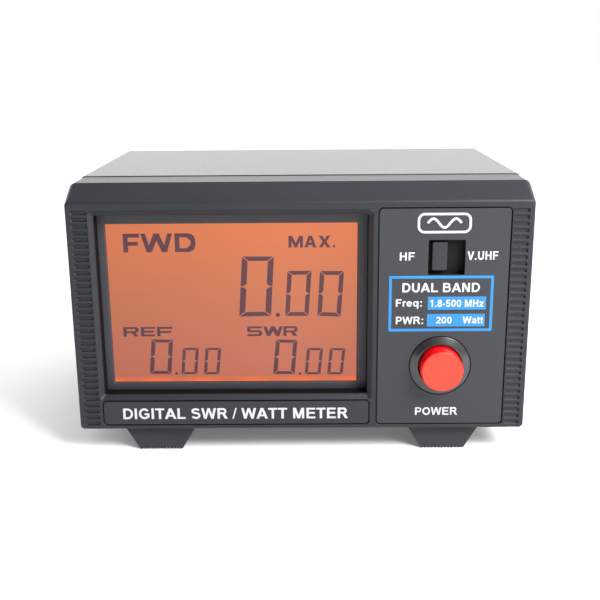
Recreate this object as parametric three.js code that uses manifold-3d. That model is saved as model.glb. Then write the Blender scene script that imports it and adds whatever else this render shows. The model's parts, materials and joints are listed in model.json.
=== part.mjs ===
// Desk-top digital SWR and watt meter: a moulded front bezel with a recessed
// backlit display, a slide band switch and a push power button, on a folded
// steel chassis under a painted steel cover, with four coax sockets behind.
//
// Millimetres, +Z up, +X to the right as seen from the front, +Y to the back.
// The layout below is written in the face frame: y = 0 is the front face and
// z = 0 is the bottom edge of the bezel. The last group moves it so that the
// part's origin is the bottom centre of its box.
import * as THREE from "three";
import { mergeVertices } from "three/addons/utils/BufferGeometryUtils.js";
import Module from "manifold-3d";

const wasm = await Module();
wasm.setup();

// ---------------------------------------------------------------- dimensions
const GAP = 0.3; // air between pieces that meet
const PAST = 1; // how far a cutting tool runs past what it cuts
const WELD = 0.2; // how far two joined shapes run into one another
const BEZEL = {
  width: 155.8,
  faceHeight: 80.5,
  bandDepth: 8.6, // how far back the sloping top band runs
  bandRise: 5.5,
  depth: 23.6,
  corner: 2.3,
  wall: 2.4,
  frontWall: 3,
};
const BEZEL_HEIGHT = BEZEL.faceHeight + BEZEL.bandRise;
const HALF_WIDTH = BEZEL.width / 2;
const BAND_INSIDE = { back: 1.6, drop: 1 }; // offsets of the band's inner surface

// The display opening, its bevelled rim and the tunnel behind it.
const OPENING = { x0: -68.7, x1: 22.95, z0: 12.7, z1: 75.95 };
const RIM = { width: 1.4, depth: 1.2, beyond: 0.4 };
const TUNNEL = { wall: 1.6, end: 6 };

// Inlaid panels on the face: outline of each pocket, and the panel in it.
const POCKET_DEPTH = 1.2;
const PANEL = { thickness: 0.9, gap: 0.4, corner: 1.4 };
const FASCIA_POCKET = { x0: 26.1, x1: 70.4, z0: 1.45, z1: 78.3 };
const LABEL_POCKET = { x0: -69.6, x1: 23.9, z0: 1.45, z1: 10.75 };

const BUTTON = {
  x: 48,
  z: 23.2,
  radius: 7.2,
  front: -6.4,
  back: 2.6,
  wall: 1.5,
  chamfer: 0.5,
  face: 1.8,
  bossRadius: 3.4,
  bossEnd: -0.5,
};
const COLLAR = { radius: 10.4, bore: 7.55, barrel: 8.7, rise: 1, end: 4.5, flat: 0.6, edge: 0.1 };
const PLUNGER = { side: 3.4, front: -3.9, back: 11.5 };
const POWER_SWITCH = { side: 13, front: 7.2, back: 17.3, well: 15.8 };
const SPRING = { radius: 3.1, wire: 0.25, turns: 5, front: -0.2, back: 6.9 };
const SPRING_MESH = { sides: 6, stepsPerTurn: 12 };

const WINDOW_CLEARANCE = 0.2; // the bezel's hole is this much larger than the panel's
const WINDOW = { x0: 42.95, x1: 55.3, z0: 55.3, z1: 67.35 };
const KNOB = { x: 46.85, z: 61.55, width: 5.3, height: 9.9, front: 0.7 };
const SHUTTER = { front: 3.4, back: 4.3, left: 9, right: 12.4, height: 15 };
const BAND_SWITCH = { width: 24, height: 12, front: 8.2, back: 17.3 };
const STEM = { halfWidth: 1.6, halfHeight: 2.2, end: 10.6 };
const STEM_SLOT = { clearance: 0.5, depth: 4 };
const KNOB_TRAVEL = 4.3;

const LCD_FRAME = { x0: -72.8, x1: 26, z0: 9.5, z1: 78.4, wall: 1.2, plate: 0.8 };
const LCD_ACTIVE = { x0: -66.2, x1: 19.6, z0: 15.3, z1: 72.2 };
const LCD_FRONT = TUNNEL.end + GAP;
const GLASS = { thickness: 2.2, inset: 0.4 };
const LIGHT_GUIDE = { thickness: 3.6, insetX: 3, insetZ: 3.4 };
const ZEBRA = { thickness: 1.5, inset: 12 };

const BOARD = { halfWidth: 74, z0: 4.6, z1: 83.1, front: 17.6, back: 19.2 };
const MICROCONTROLLER = { x: -18, z: 44, side: 14, thickness: 1.6 };
const BOARD_SCREW = {
  x: 71,
  low: 5.5,
  high: 81.4,
  headRadius: 2.1,
  headHeight: 1.4,
  shank: 1,
  length: 6.5,
};
const BOSS = { radius: 2.3, front: 7, blindEnd: 9 }; // posts that the board is screwed to
const WEB = { halfThickness: 0.8, back: 13.3, top: 6.5 }; // ties a lower post to the front wall

const COVER = { halfWidth: 77.6, top: 86.3, bottom: 0.8, front: 23.9, back: 109.6, corner: 1.6 };
const SHEET = 1; // steel sheet of the cover and the chassis
const CHASSIS = {
  halfWidth: 75.7,
  tongueHalfWidth: 64,
  tongueFront: 8,
  cornerEnd: 26.8, // the tongue's corners are notched back to here
  tongueZ: 2.7,
  floorZ: 0.8,
  rearFace: 108.9,
  top: 84.8,
  lipHeight: 12,
  slack: 0.4, // air between the bezel's back and the step in the tray
};
const LIP = { front: 28, back: 103.5 };
const COVER_LIP = { front: 22, back: 26.5, thickness: 1.6, clearance: 0.4, corner: 1.4, bottom: 6 };

const FOOT = {
  x: 50.25,
  drop: 9.1,
  topHalf: 12.8,
  bottomHalf: 7.6,
  length: 18,
  frontY: 12.5,
  rearY: 98,
};
const FOOT_SCREW = {
  headRadius: 2.9,
  headHeight: 1.8,
  shank: 1.5,
  wellRadius: 3.3,
  wellDepth: 4.4,
  proud: 0.8, // end of the shank above the sheet
};
const COVER_SCREW = { z: 8, y: [40, 92], headRadius: 2.7, headHeight: 1.1, shank: 1.3, length: 5 };

// Coax sockets, in two pairs: HF on the left and V/UHF on the right as seen
// from the front.
const SOCKET_Z = 46;
const SOCKETS = [
  { name: "hf_input", x: -56, kind: "uhf" },
  { name: "hf_output", x: -20, kind: "uhf" },
  { name: "vuhf_input", x: 20, kind: "n" },
  { name: "vuhf_output", x: 56, kind: "n" },
];
const SOCKET = {
  flange: 25.4,
  flangeThickness: 1.6,
  thread: 7.95,
  bore: 6.2,
  length: 17.8,
  spigot: 7.6,
  spigotDepth: 3,
  chamfer: 0.5,
  tail: 12,
  tailRadius: 1.3,
  wellDepth: 9,
};
const SOCKET_KINDS = {
  uhf: {
    insulator: { hole: 2.9, front: SOCKET.length - 3.5 },
    contact: { outer: 2.6, bore: 2, front: SOCKET.length - 3 },
  },
  n: {
    insulator: { hole: 1.9, front: 4 },
    contact: { outer: 1.6, bore: 0.9, front: SOCKET.length - 6 },
  },
};
const PANEL_HOLE = SOCKET.spigot + 0.4;
const DC_JACK = {
  x: 0,
  z: 16,
  flange: 5.6,
  barrel: 3.9,
  bore: 2.8,
  pin: 1.05,
  depth: 10.5,
  lip: 1.2,
  floor: 1.5,
  pinTail: 2,
  pinRecess: 1.5,
};

// Screened sensor boxes behind each pair of sockets.
const SENSOR_BOX = { halfWidth: 31, z0: 26, z1: 66, front: 81.5, wall: 0.8, exit: 2.2 };
const SENSORS = [
  { name: "hf", x: -38 },
  { name: "vuhf", x: 38 },
];
const COUPLER = { thickness: 1.6, front: 83.5, inset: 3 };
const LINE = { y: 94.5, reach: 19.5, radius: 1.3, stripDepth: 1, stripHeight: 6 };
const LEAD_EXIT = 6; // height of a lead's hole above the floor of its sensor box
const TOROID = { outer: 7.5, inner: 2.6, width: 6 };
const LEAD = { radius: 1.2, sides: 8, steps: 24 };
const STRAIGHT = 12; // straight run of a lead before it bends
const LOW_MIDDLE = { y: 52, z: 18 }; // where the sensor leads hang lowest
const BOARD_ENTRY_Z = 24; // height of the sensor leads at the main board
const SUPPLY_MIDDLE = { x: 6, y: 56, z: 9 };
const SUPPLY_ENTRY = { x: 14, z: 16 };

const FINE_ROUND = 32; // sides of the collar and the cap
const ROUND = 24; // sides of a round piece
const SMALL_ROUND = 12; // sides of a screw or a small hole
const CORNER_STEPS = 3;

// ------------------------------------------------------------ solid modelling
function toSolid(geometry) {
  const bare = geometry.clone();
  bare.deleteAttribute("normal");
  bare.deleteAttribute("uv");
  const merged = mergeVertices(bare, 1e-4);
  const mesh = new wasm.Mesh({
    numProp: 3,
    vertProperties: merged.attributes.position.array,
    triVerts: new Uint32Array(merged.index.array),
  });
  return new wasm.Manifold(mesh);
}

function toGeometry(solid) {
  const mesh = solid.getMesh();
  const geometry = new THREE.BufferGeometry();
  geometry.setAttribute("position", new THREE.BufferAttribute(mesh.vertProperties, 3));
  geometry.setIndex(new THREE.BufferAttribute(mesh.triVerts, 1));
  geometry.computeVertexNormals();
  return geometry;
}

function join(first, ...others) {
  const solid = others.reduce((sum, other) => sum.add(toSolid(other)), toSolid(first));
  return toGeometry(solid);
}

function cut(body, ...tools) {
  const solid = tools.reduce((rest, tool) => rest.subtract(toSolid(tool)), toSolid(body));
  return toGeometry(solid);
}

// -------------------------------------------------------------- basic shapes
function box(x0, x1, y0, y1, z0, z1) {
  const geometry = new THREE.BoxGeometry(x1 - x0, y1 - y0, z1 - z0);
  return geometry.translate((x0 + x1) / 2, (y0 + y1) / 2, (z0 + z1) / 2);
}

// A block over an outline { x0, x1, z0, z1 } of the face, from y0 back to y1.
function block(outline, y0, y1, grow = 0) {
  const { x0, x1, z0, z1 } = outline;
  return box(x0 - grow, x1 + grow, y0, y1, z0 - grow, z1 + grow);
}

// A square bar along y.
function bar(x, z, side, y0, y1) {
  return box(x - side / 2, x + side / 2, y0, y1, z - side / 2, z + side / 2);
}

function rodY(radius, y0, y1, x = 0, z = 0, sides = ROUND) {
  const geometry = new THREE.CylinderGeometry(radius, radius, y1 - y0, sides);
  return geometry.translate(x, (y0 + y1) / 2, z);
}

function rodX(radius, x0, x1, y, z, sides = SMALL_ROUND) {
  const geometry = new THREE.CylinderGeometry(radius, radius, x1 - x0, sides);
  return geometry.rotateZ(Math.PI / 2).translate((x0 + x1) / 2, y, z);
}

function rodZ(radius, z0, z1, x, y, sides = SMALL_ROUND) {
  const geometry = new THREE.CylinderGeometry(radius, radius, z1 - z0, sides);
  return geometry.rotateX(Math.PI / 2).translate(x, y, (z0 + z1) / 2);
}

// A shape turned about the y axis from a closed profile of [radius, y] points,
// listed anticlockwise with the radius to the right.
function turned(profile, sides = ROUND) {
  const points = profile.map(([radius, y]) => new THREE.Vector2(radius, y));
  points.push(points[0].clone());
  return new THREE.LatheGeometry(points, sides);
}

function outlineXZ({ x0, x1, z0, z1 }, radius) {
  const shape = new THREE.Shape();
  shape.absarc(x1 - radius, z1 - radius, radius, 0, Math.PI / 2);
  shape.absarc(x0 + radius, z1 - radius, radius, Math.PI / 2, Math.PI);
  shape.absarc(x0 + radius, z0 + radius, radius, Math.PI, 1.5 * Math.PI);
  shape.absarc(x1 - radius, z0 + radius, radius, 1.5 * Math.PI, 2 * Math.PI);
  return shape;
}

// An x-z outline with rounded corners, from y0 back to y1.
function plate(outline, radius, y0, y1) {
  const geometry = new THREE.ExtrudeGeometry(outlineXZ(outline, radius), {
    depth: y1 - y0,
    bevelEnabled: false,
    curveSegments: CORNER_STEPS,
  });
  return geometry.rotateX(Math.PI / 2).translate(0, y1, 0);
}

// A polygon of [y, z] points carried along x from x0 to x1.
function sideProfile(points, x0, x1) {
  const shape = new THREE.Shape(points.map(([y, z]) => new THREE.Vector2(y, z)));
  const geometry = new THREE.ExtrudeGeometry(shape, { depth: x1 - x0, bevelEnabled: false });
  const alongX = new THREE.Matrix4().makeBasis(
    new THREE.Vector3(0, 1, 0),
    new THREE.Vector3(0, 0, 1),
    new THREE.Vector3(1, 0, 0),
  );
  return geometry.applyMatrix4(alongX).translate(x0, 0, 0);
}

// A machine screw along +y: its head ends at y = 0 and its shank starts there.
function screw(headRadius, headHeight, shankRadius, length) {
  return turned(
    [
      [0, -headHeight],
      [headRadius * 0.7, -headHeight],
      [headRadius, -headHeight * 0.55],
      [headRadius, 0],
      [shankRadius, 0],
      [shankRadius, length],
      [0, length],
    ],
    SMALL_ROUND,
  );
}

// ------------------------------------------------------------------ materials
function material(color, roughness, metalness = 0, extra = {}) {
  return new THREE.MeshStandardMaterial({ color, roughness, metalness, ...extra });
}

const finishes = {
  bezel: () => material(0x45464b, 0.55),
  panel: () => material(0x505156, 0.5),
  lightPanel: () => material(0x54555a, 0.45),
  blackPlastic: () => material(0x1c1c1f, 0.5),
  redPlastic: () => material(0xe02a24, 0.3),
  lcdFrame: () => material(0x3e3d42, 0.5),
  lcdGlass: () => material(0xe87a48, 0.15, 0, { emissive: 0x8a3a18 }),
  lightGuide: () => material(0xf2b48a, 0.3),
  zebra: () => material(0x8a7f86, 0.8),
  circuitBoard: () => material(0x1f5a38, 0.5),
  chip: () => material(0x161618, 0.4),
  coverPaint: () => material(0x303134, 0.5, 0.2),
  zincSteel: () => material(0xa9adb0, 0.35, 0.9),
  rubber: () => material(0x38373c, 0.8),
  screwSteel: () => material(0x2b2c2f, 0.35, 0.8),
  nickel: () => material(0xc9c6bd, 0.25, 1),
  ptfe: () => material(0xe9e7e0, 0.5),
  gold: () => material(0xc9a14e, 0.3, 1),
  ferrite: () => material(0x4a4744, 0.7),
  copper: () => material(0xb87345, 0.3, 1),
  springSteel: () => material(0xb9bcc0, 0.3, 1),
  leadJacket: () => material(0x232326, 0.6),
};

const face = new THREE.Group();

function piece(name, geometry, finish) {
  const mesh = new THREE.Mesh(geometry, finishes[finish]());
  mesh.name = name;
  face.add(mesh);
  return mesh;
}

// ---------------------------------------------------------------- front bezel
function bezelOutline(inset) {
  return {
    x0: -HALF_WIDTH + inset,
    x1: HALF_WIDTH - inset,
    z0: inset,
    z1: BEZEL_HEIGHT - inset,
  };
}

function bezelShell() {
  const { faceHeight, bandDepth, depth, corner, wall, frontWall } = BEZEL;
  const slope = (BEZEL.bandRise / bandDepth) * PAST;
  const above = BEZEL_HEIGHT + slope;
  const overBand = sideProfile(
    [[-PAST, faceHeight - slope], [bandDepth + PAST, above], [-PAST, above]],
    -HALF_WIDTH - PAST,
    HALF_WIDTH + PAST,
  );
  const ceiling = BEZEL_HEIGHT - wall;
  const past = depth + PAST;
  const inside = sideProfile(
    [
      [frontWall, wall],
      [past, wall],
      [past, ceiling],
      [bandDepth + BAND_INSIDE.back, ceiling],
      [frontWall, faceHeight - BAND_INSIDE.drop],
    ],
    -HALF_WIDTH + wall,
    HALF_WIDTH - wall,
  );
  return cut(plate(bezelOutline(0), corner, 0, depth), overBand, inside);
}

// The bevel round the opening: a block that tapers towards the back, begun in
// front of the face and ended inside the opening.
function openingRim() {
  const { width, depth } = RIM;
  const growth = (y) => (width * (depth - y)) / depth;
  const ends = [-PAST, depth + RIM.beyond];
  const rim = block(OPENING, ...ends);
  const place = rim.attributes.position;
  const middle = { x: (OPENING.x0 + OPENING.x1) / 2, z: (OPENING.z0 + OPENING.z1) / 2 };
  for (let i = 0; i < place.count; i += 1) {
    const [x, y, z] = [place.getX(i), place.getY(i), place.getZ(i)];
    const outward = growth(y);
    place.setXYZ(i, x + Math.sign(x - middle.x) * outward, y, z + Math.sign(z - middle.z) * outward);
  }
  return rim;
}

// A lip on the bezel's back that the cover slides over, at the top and sides.
function bezelLip() {
  const { front, back, thickness, clearance, corner, bottom } = COVER_LIP;
  const outerX = COVER.halfWidth - SHEET - clearance;
  const outline = (inset) => ({
    x0: -outerX + inset,
    x1: outerX - inset,
    z0: inset,
    z1: COVER.top - SHEET - clearance - inset,
  });
  return cut(
    plate(outline(0), corner, front, back),
    block(outline(thickness), front - PAST, back + PAST),
    box(-HALF_WIDTH, HALF_WIDTH, front - PAST, back + PAST, -PAST, bottom),
  );
}

const boardScrewPlaces = [-1, 1].flatMap((side) => [
  { name: side < 0 ? "left_lower" : "right_lower", x: side * BOARD_SCREW.x, z: BOARD_SCREW.low },
  { name: side < 0 ? "left_upper" : "right_upper", x: side * BOARD_SCREW.x, z: BOARD_SCREW.high },
]);

const footPlaces = [
  { name: "front_left", x: -FOOT.x, y: FOOT.frontY, top: -GAP },
  { name: "front_right", x: FOOT.x, y: FOOT.frontY, top: -GAP },
  { name: "rear_left", x: -FOOT.x, y: FOOT.rearY, top: CHASSIS.floorZ - GAP },
  { name: "rear_right", x: FOOT.x, y: FOOT.rearY, top: CHASSIS.floorZ - GAP },
];

function frontBezel() {
  const { frontWall } = BEZEL;
  const postEnd = BOARD.front - GAP;
  const holeRadius = BOARD_SCREW.shank + GAP;
  const posts = boardScrewPlaces.map(({ x, z }) =>
    rodY(BOSS.radius, BOSS.front, postEnd, x, z, SMALL_ROUND),
  );
  const postHoles = boardScrewPlaces.map(({ x, z }) =>
    rodY(holeRadius, BOSS.blindEnd, postEnd + PAST, x, z, SMALL_ROUND),
  );
  const shell = join(
    bezelShell(),
    block(OPENING, frontWall - PAST, TUNNEL.end, TUNNEL.wall),
    bezelLip(),
    ...posts,
    ...[-1, 1].map((side) => {
      const x = side * BOARD_SCREW.x;
      const half = WEB.halfThickness;
      return box(x - half, x + half, frontWall - PAST, WEB.back, BEZEL.wall - PAST, WEB.top);
    }),
  );
  const footHole = FOOT_SCREW.shank + GAP;
  return cut(
    shell,
    block(OPENING, -PAST, TUNNEL.end + PAST),
    openingRim(),
    plate(FASCIA_POCKET, PANEL.corner + PANEL.gap, -PAST, POCKET_DEPTH),
    plate(LABEL_POCKET, PANEL.corner, -PAST, POCKET_DEPTH),
    block(WINDOW, -PAST, frontWall + PAST, WINDOW_CLEARANCE),
    rodY(COLLAR.barrel + GAP, -PAST, frontWall + PAST, BUTTON.x, BUTTON.z),
    ...postHoles,
    ...footPlaces.slice(0, 2).map(({ x, y }) => rodZ(footHole, -PAST, BEZEL.wall + PAST, x, y)),
  );
}

// ---------------------------------------------------------- panels on the face
function inlay(pocket) {
  const { gap } = PANEL;
  return {
    x0: pocket.x0 + gap,
    x1: pocket.x1 - gap,
    z0: pocket.z0 + gap,
    z1: pocket.z1 - gap,
  };
}

function fasciaPanel() {
  const { thickness, corner } = PANEL;
  return cut(
    plate(inlay(FASCIA_POCKET), corner, 0, thickness),
    block(WINDOW, -PAST, thickness + PAST),
    rodY(COLLAR.radius + GAP, -PAST, thickness + PAST, BUTTON.x, BUTTON.z, FINE_ROUND),
  );
}

function labelStrip() {
  return plate(inlay(LABEL_POCKET), PANEL.corner - PANEL.gap, 0, PANEL.thickness);
}

// ---------------------------------------------------------------- power button
function buttonCollar() {
  const { radius, bore, barrel, rise, end, flat, edge } = COLLAR;
  const seat = PANEL.thickness;
  return turned(
    [
      [bore, -rise],
      [bore + flat, -rise],
      [radius, -edge],
      [radius, seat],
      [barrel, seat],
      [barrel, end],
      [bore, end],
    ],
    FINE_ROUND,
  );
}

function buttonCap() {
  const { radius, front, back, wall, chamfer, face: faceThickness, bossRadius, bossEnd } = BUTTON;
  const inside = radius - wall;
  const skirt = turned(
    [
      [0, front],
      [radius - chamfer, front],
      [radius, front + chamfer],
      [radius, back],
      [inside, back],
      [inside, front + faceThickness],
      [0, front + faceThickness],
    ],
    FINE_ROUND,
  );
  const boss = rodY(bossRadius, front + PAST, bossEnd, 0, 0, SMALL_ROUND);
  const socket = bar(0, 0, PLUNGER.side + 2 * GAP, PLUNGER.front - GAP, bossEnd + PAST);
  return cut(join(skirt, boss), socket);
}

function powerSwitchBody() {
  const { side, front, back, well } = POWER_SWITCH;
  const slot = bar(0, 0, PLUNGER.side + 2 * GAP, front - PAST, well);
  return cut(bar(0, 0, side, front, back), slot);
}

class Helix extends THREE.Curve {
  constructor(radius, start, end, turns) {
    super();
    Object.assign(this, { radius, start, end, turns });
  }

  getPoint(t, target = new THREE.Vector3()) {
    const angle = 2 * Math.PI * this.turns * t;
    const along = this.start + (this.end - this.start) * t;
    return target.set(this.radius * Math.cos(angle), along, this.radius * Math.sin(angle));
  }
}

function roundWire(path, radius, sides, steps) {
  const section = new THREE.Shape();
  section.absarc(0, 0, radius, 0, 2 * Math.PI);
  return new THREE.ExtrudeGeometry(section, {
    extrudePath: path,
    steps,
    curveSegments: sides / 2, // an arc is drawn in twice as many steps
    bevelEnabled: false,
  });
}

function buttonSpring() {
  const { radius, wire, turns, front, back } = SPRING;
  const path = new Helix(radius, front + wire, back - wire, turns);
  return roundWire(path, wire, SPRING_MESH.sides, turns * SPRING_MESH.stepsPerTurn);
}

function addPowerButton() {
  piece("button_collar", buttonCollar(), "blackPlastic");
  piece("power_button_cap", buttonCap(), "redPlastic");
  piece("power_switch_plunger", bar(0, 0, PLUNGER.side, PLUNGER.front, PLUNGER.back), "blackPlastic");
  piece("power_switch_body", powerSwitchBody(), "blackPlastic");
  piece("power_switch_spring", buttonSpring(), "springSteel");
  const switchParts = ["plunger", "body", "spring"].map((part) => `power_switch_${part}`);
  for (const name of ["button_collar", "power_button_cap", ...switchParts]) {
    face.getObjectByName(name).position.set(BUTTON.x, 0, BUTTON.z);
  }
}

// ----------------------------------------------------------------- band switch
// The knob slides along +x; the shutter behind it hides the inside of the case.
function bandSwitchKnob() {
  const { width, height, front } = KNOB;
  const { left, right } = SHUTTER;
  const { halfWidth, halfHeight, end } = STEM;
  const halfShutter = SHUTTER.height / 2;
  return join(
    box(-width / 2, width / 2, front, SHUTTER.front + WELD, -height / 2, height / 2),
    box(-left, right, SHUTTER.front, SHUTTER.back, -halfShutter, halfShutter),
    box(-halfWidth, halfWidth, SHUTTER.back - WELD, end, -halfHeight, halfHeight),
  );
}

function bandSwitchBody() {
  const { width, height, front, back } = BAND_SWITCH;
  const middle = KNOB_TRAVEL / 2;
  const reachX = STEM.halfWidth + STEM_SLOT.clearance;
  const reachZ = STEM.halfHeight + STEM_SLOT.clearance;
  const slot = { x0: -reachX, x1: KNOB_TRAVEL + reachX, z0: -reachZ, z1: reachZ };
  const can = box(middle - width / 2, middle + width / 2, front, back, -height / 2, height / 2);
  return cut(can, block(slot, front - PAST, front + STEM_SLOT.depth));
}

function addBandSwitch() {
  piece("band_switch_knob", bandSwitchKnob(), "blackPlastic").position.set(KNOB.x, 0, KNOB.z);
  piece("band_switch_body", bandSwitchBody(), "zincSteel").position.set(KNOB.x, 0, KNOB.z);
}

// --------------------------------------------------------------------- display
function lcdFrame() {
  const { wall, plate: plateThickness } = LCD_FRAME;
  const back = BOARD.front - GAP;
  return cut(
    block(LCD_FRAME, LCD_FRONT, back),
    block(LCD_ACTIVE, LCD_FRONT - PAST, back + PAST),
    block(LCD_FRAME, LCD_FRONT + plateThickness, back + PAST, -wall),
  );
}

function addDisplay() {
  const { x0, x1, z0, z1, wall, plate: plateThickness } = LCD_FRAME;
  const inside = wall + GLASS.inset;
  const glassFront = LCD_FRONT + plateThickness + GAP;
  const glassBack = glassFront + GLASS.thickness;
  const guideFront = glassBack + GAP;
  const room = { x0: x0 + inside, x1: x1 - inside, z0: z0 + inside, z1: z1 - inside };
  const guide = {
    x0: room.x0 + LIGHT_GUIDE.insetX,
    x1: room.x1 - LIGHT_GUIDE.insetX,
    z0: room.z0 + LIGHT_GUIDE.insetZ,
    z1: room.z1 - LIGHT_GUIDE.insetZ,
  };
  const strip = { x0: room.x0 + ZEBRA.inset, x1: room.x1 - ZEBRA.inset };
  const lower = { ...strip, z0: room.z0, z1: room.z0 + ZEBRA.thickness };
  const upper = { ...strip, z0: room.z1 - ZEBRA.thickness, z1: room.z1 };
  piece("lcd_frame", lcdFrame(), "lcdFrame");
  piece("lcd_glass", block(room, glassFront, glassBack), "lcdGlass");
  piece("backlight_guide", block(guide, guideFront, guideFront + LIGHT_GUIDE.thickness), "lightGuide");
  piece("zebra_strip_lower", block(lower, guideFront, BOARD.front - GAP), "zebra");
  piece("zebra_strip_upper", block(upper, guideFront, BOARD.front - GAP), "zebra");
}

// ------------------------------------------------------------------ main board
function mainBoard() {
  const { halfWidth, z0, z1, front, back } = BOARD;
  const holes = boardScrewPlaces.map(({ x, z }) =>
    rodY(BOARD_SCREW.shank + GAP, front - PAST, back + PAST, x, z, SMALL_ROUND),
  );
  return cut(box(-halfWidth, halfWidth, front, back, z0, z1), ...holes);
}

function addMainBoard() {
  piece("main_board", mainBoard(), "circuitBoard");
  const { x: chipX, z: chipZ, side, thickness } = MICROCONTROLLER;
  const chipFront = BOARD.back + GAP;
  const microcontroller = bar(chipX, chipZ, side, chipFront, chipFront + thickness);
  piece("microcontroller", microcontroller, "chip");
  const { headRadius, headHeight, shank, length } = BOARD_SCREW;
  for (const { name, x, z } of boardScrewPlaces) {
    const boardScrew = screw(headRadius, headHeight, shank, length);
    const mesh = piece(`board_screw_${name}`, boardScrew, "screwSteel");
    mesh.position.set(x, BOARD.back + GAP, z);
    mesh.rotation.z = Math.PI;
  }
}

// ------------------------------------------------------------ chassis and cover
function chassisTray() {
  const { halfWidth, tongueHalfWidth, tongueFront, tongueZ, floorZ, rearFace, top, lipHeight } = CHASSIS;
  const stepY = BEZEL.depth + CHASSIS.slack;
  const drop = tongueZ - floorZ;
  const wallInside = rearFace - SHEET;
  const jackHole = DC_JACK.barrel + GAP;
  const folded = sideProfile(
    [
      [tongueFront, tongueZ],
      [stepY, tongueZ],
      [stepY + drop, floorZ],
      [rearFace, floorZ],
      [rearFace, top],
      [wallInside, top],
      [wallInside, floorZ + SHEET],
      [stepY + drop + CHASSIS.slack, floorZ + SHEET],
      [stepY + CHASSIS.slack, tongueZ + SHEET],
      [tongueFront, tongueZ + SHEET],
    ],
    -halfWidth,
    halfWidth,
  );
  const sides = [-1, 1];
  const lips = sides.map((side) => {
    const outer = side * halfWidth;
    const inner = side * (halfWidth - SHEET);
    const x = [outer, inner].sort((a, b) => a - b);
    return box(x[0], x[1], LIP.front, LIP.back, floorZ, lipHeight);
  });
  const tongueCorners = sides.map((side) => {
    const x = [side * tongueHalfWidth, side * (halfWidth + PAST)].sort((a, b) => a - b);
    return box(x[0], x[1], tongueFront - PAST, CHASSIS.cornerEnd, -PAST, tongueZ + 2 * SHEET);
  });
  const coverScrewHoles = COVER_SCREW.y.map((y) =>
    rodX(COVER_SCREW.shank + GAP, -halfWidth - PAST, halfWidth + PAST, y, COVER_SCREW.z),
  );
  return cut(
    join(folded, ...lips),
    ...tongueCorners,
    ...coverScrewHoles,
    ...footPlaces.map(({ x, y }) => rodZ(FOOT_SCREW.shank + GAP, -PAST, tongueZ + 2 * SHEET, x, y)),
    ...SOCKETS.map(({ x }) => rodY(PANEL_HOLE, wallInside - PAST, rearFace + PAST, x, SOCKET_Z)),
    rodY(jackHole, wallInside - PAST, rearFace + PAST, DC_JACK.x, DC_JACK.z, SMALL_ROUND),
  );
}

function topCover() {
  const { halfWidth, top, bottom, front, back, corner } = COVER;
  const below = bottom - 2 * corner - PAST;
  const outer = { x0: -halfWidth, x1: halfWidth, z0: below, z1: top };
  const inner = { x0: -halfWidth + SHEET, x1: halfWidth - SHEET, z0: below, z1: top - SHEET };
  const screwHoles = COVER_SCREW.y.map((y) =>
    rodX(COVER_SCREW.shank + GAP, -halfWidth - PAST, halfWidth + PAST, y, COVER_SCREW.z),
  );
  return cut(
    plate(outer, corner, front, back),
    plate(inner, corner - SHEET, front - PAST, back + PAST),
    box(-halfWidth - PAST, halfWidth + PAST, front - PAST, back + PAST, below - PAST, bottom),
    ...screwHoles,
  );
}

function foot(top) {
  const { drop, topHalf, bottomHalf, length } = FOOT;
  const shape = new THREE.Shape([
    new THREE.Vector2(-bottomHalf, -drop),
    new THREE.Vector2(bottomHalf, -drop),
    new THREE.Vector2(topHalf, top),
    new THREE.Vector2(-topHalf, top),
  ]);
  const wedge = new THREE.ExtrudeGeometry(shape, { depth: length, bevelEnabled: false });
  wedge.rotateX(Math.PI / 2).translate(0, length / 2, 0);
  return cut(
    wedge,
    rodZ(FOOT_SCREW.wellRadius, -drop - PAST, -drop + FOOT_SCREW.wellDepth, 0, 0),
    rodZ(FOOT_SCREW.shank + GAP, -drop, top + PAST, 0, 0),
  );
}

function addCase() {
  piece("front_bezel", frontBezel(), "bezel");
  piece("fascia_panel", fasciaPanel(), "lightPanel");
  piece("label_strip", labelStrip(), "panel");
  piece("chassis_tray", chassisTray(), "coverPaint");
  piece("top_cover", topCover(), "coverPaint");

  const headSeat = -FOOT.drop + FOOT_SCREW.wellDepth - GAP;
  for (const { name, x, y, top } of footPlaces) {
    piece(`foot_${name}`, foot(top), "rubber").position.set(x, y, 0);
    const { headRadius, headHeight, shank } = FOOT_SCREW;
    const reach = CHASSIS.tongueZ + SHEET + FOOT_SCREW.proud - headSeat;
    const footScrew = screw(headRadius, headHeight, shank, reach);
    const mesh = piece(`foot_screw_${name}`, footScrew, "screwSteel");
    mesh.position.set(x, y, headSeat);
    mesh.rotation.x = Math.PI / 2;
  }

  for (const side of [-1, 1]) {
    COVER_SCREW.y.forEach((y, index) => {
      const { headRadius, headHeight, shank, length } = COVER_SCREW;
      const name = `cover_screw_${side < 0 ? "left" : "right"}_${index ? "rear" : "front"}`;
      const mesh = piece(name, screw(headRadius, headHeight, shank, length), "screwSteel");
      mesh.position.set(side * (COVER.halfWidth + GAP), y, COVER_SCREW.z);
      mesh.rotation.z = (side * Math.PI) / 2;
    });
  }
}

// ---------------------------------------------------------------- coax sockets
function socketShell() {
  const { flange, flangeThickness, thread, bore, length, spigot, spigotDepth, chamfer } = SOCKET;
  const barrel = turned([
    [bore, -spigotDepth],
    [spigot, -spigotDepth],
    [spigot, flangeThickness / 2],
    [thread, flangeThickness / 2],
    [thread, length - chamfer],
    [thread - chamfer, length],
    [bore, length],
  ]);
  const square = cut(bar(0, 0, flange, 0, flangeThickness), rodY(bore, -PAST, flangeThickness + PAST));
  return join(barrel, square);
}

// Sleeve of insulation between the shell and the centre contact.
function socketInsulator(kind) {
  const { hole, front } = SOCKET_KINDS[kind].insulator;
  const outer = SOCKET.bore - GAP;
  const back = -SOCKET.spigotDepth;
  return turned([[hole, back], [outer, back], [outer, front], [hole, front]]);
}

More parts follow.
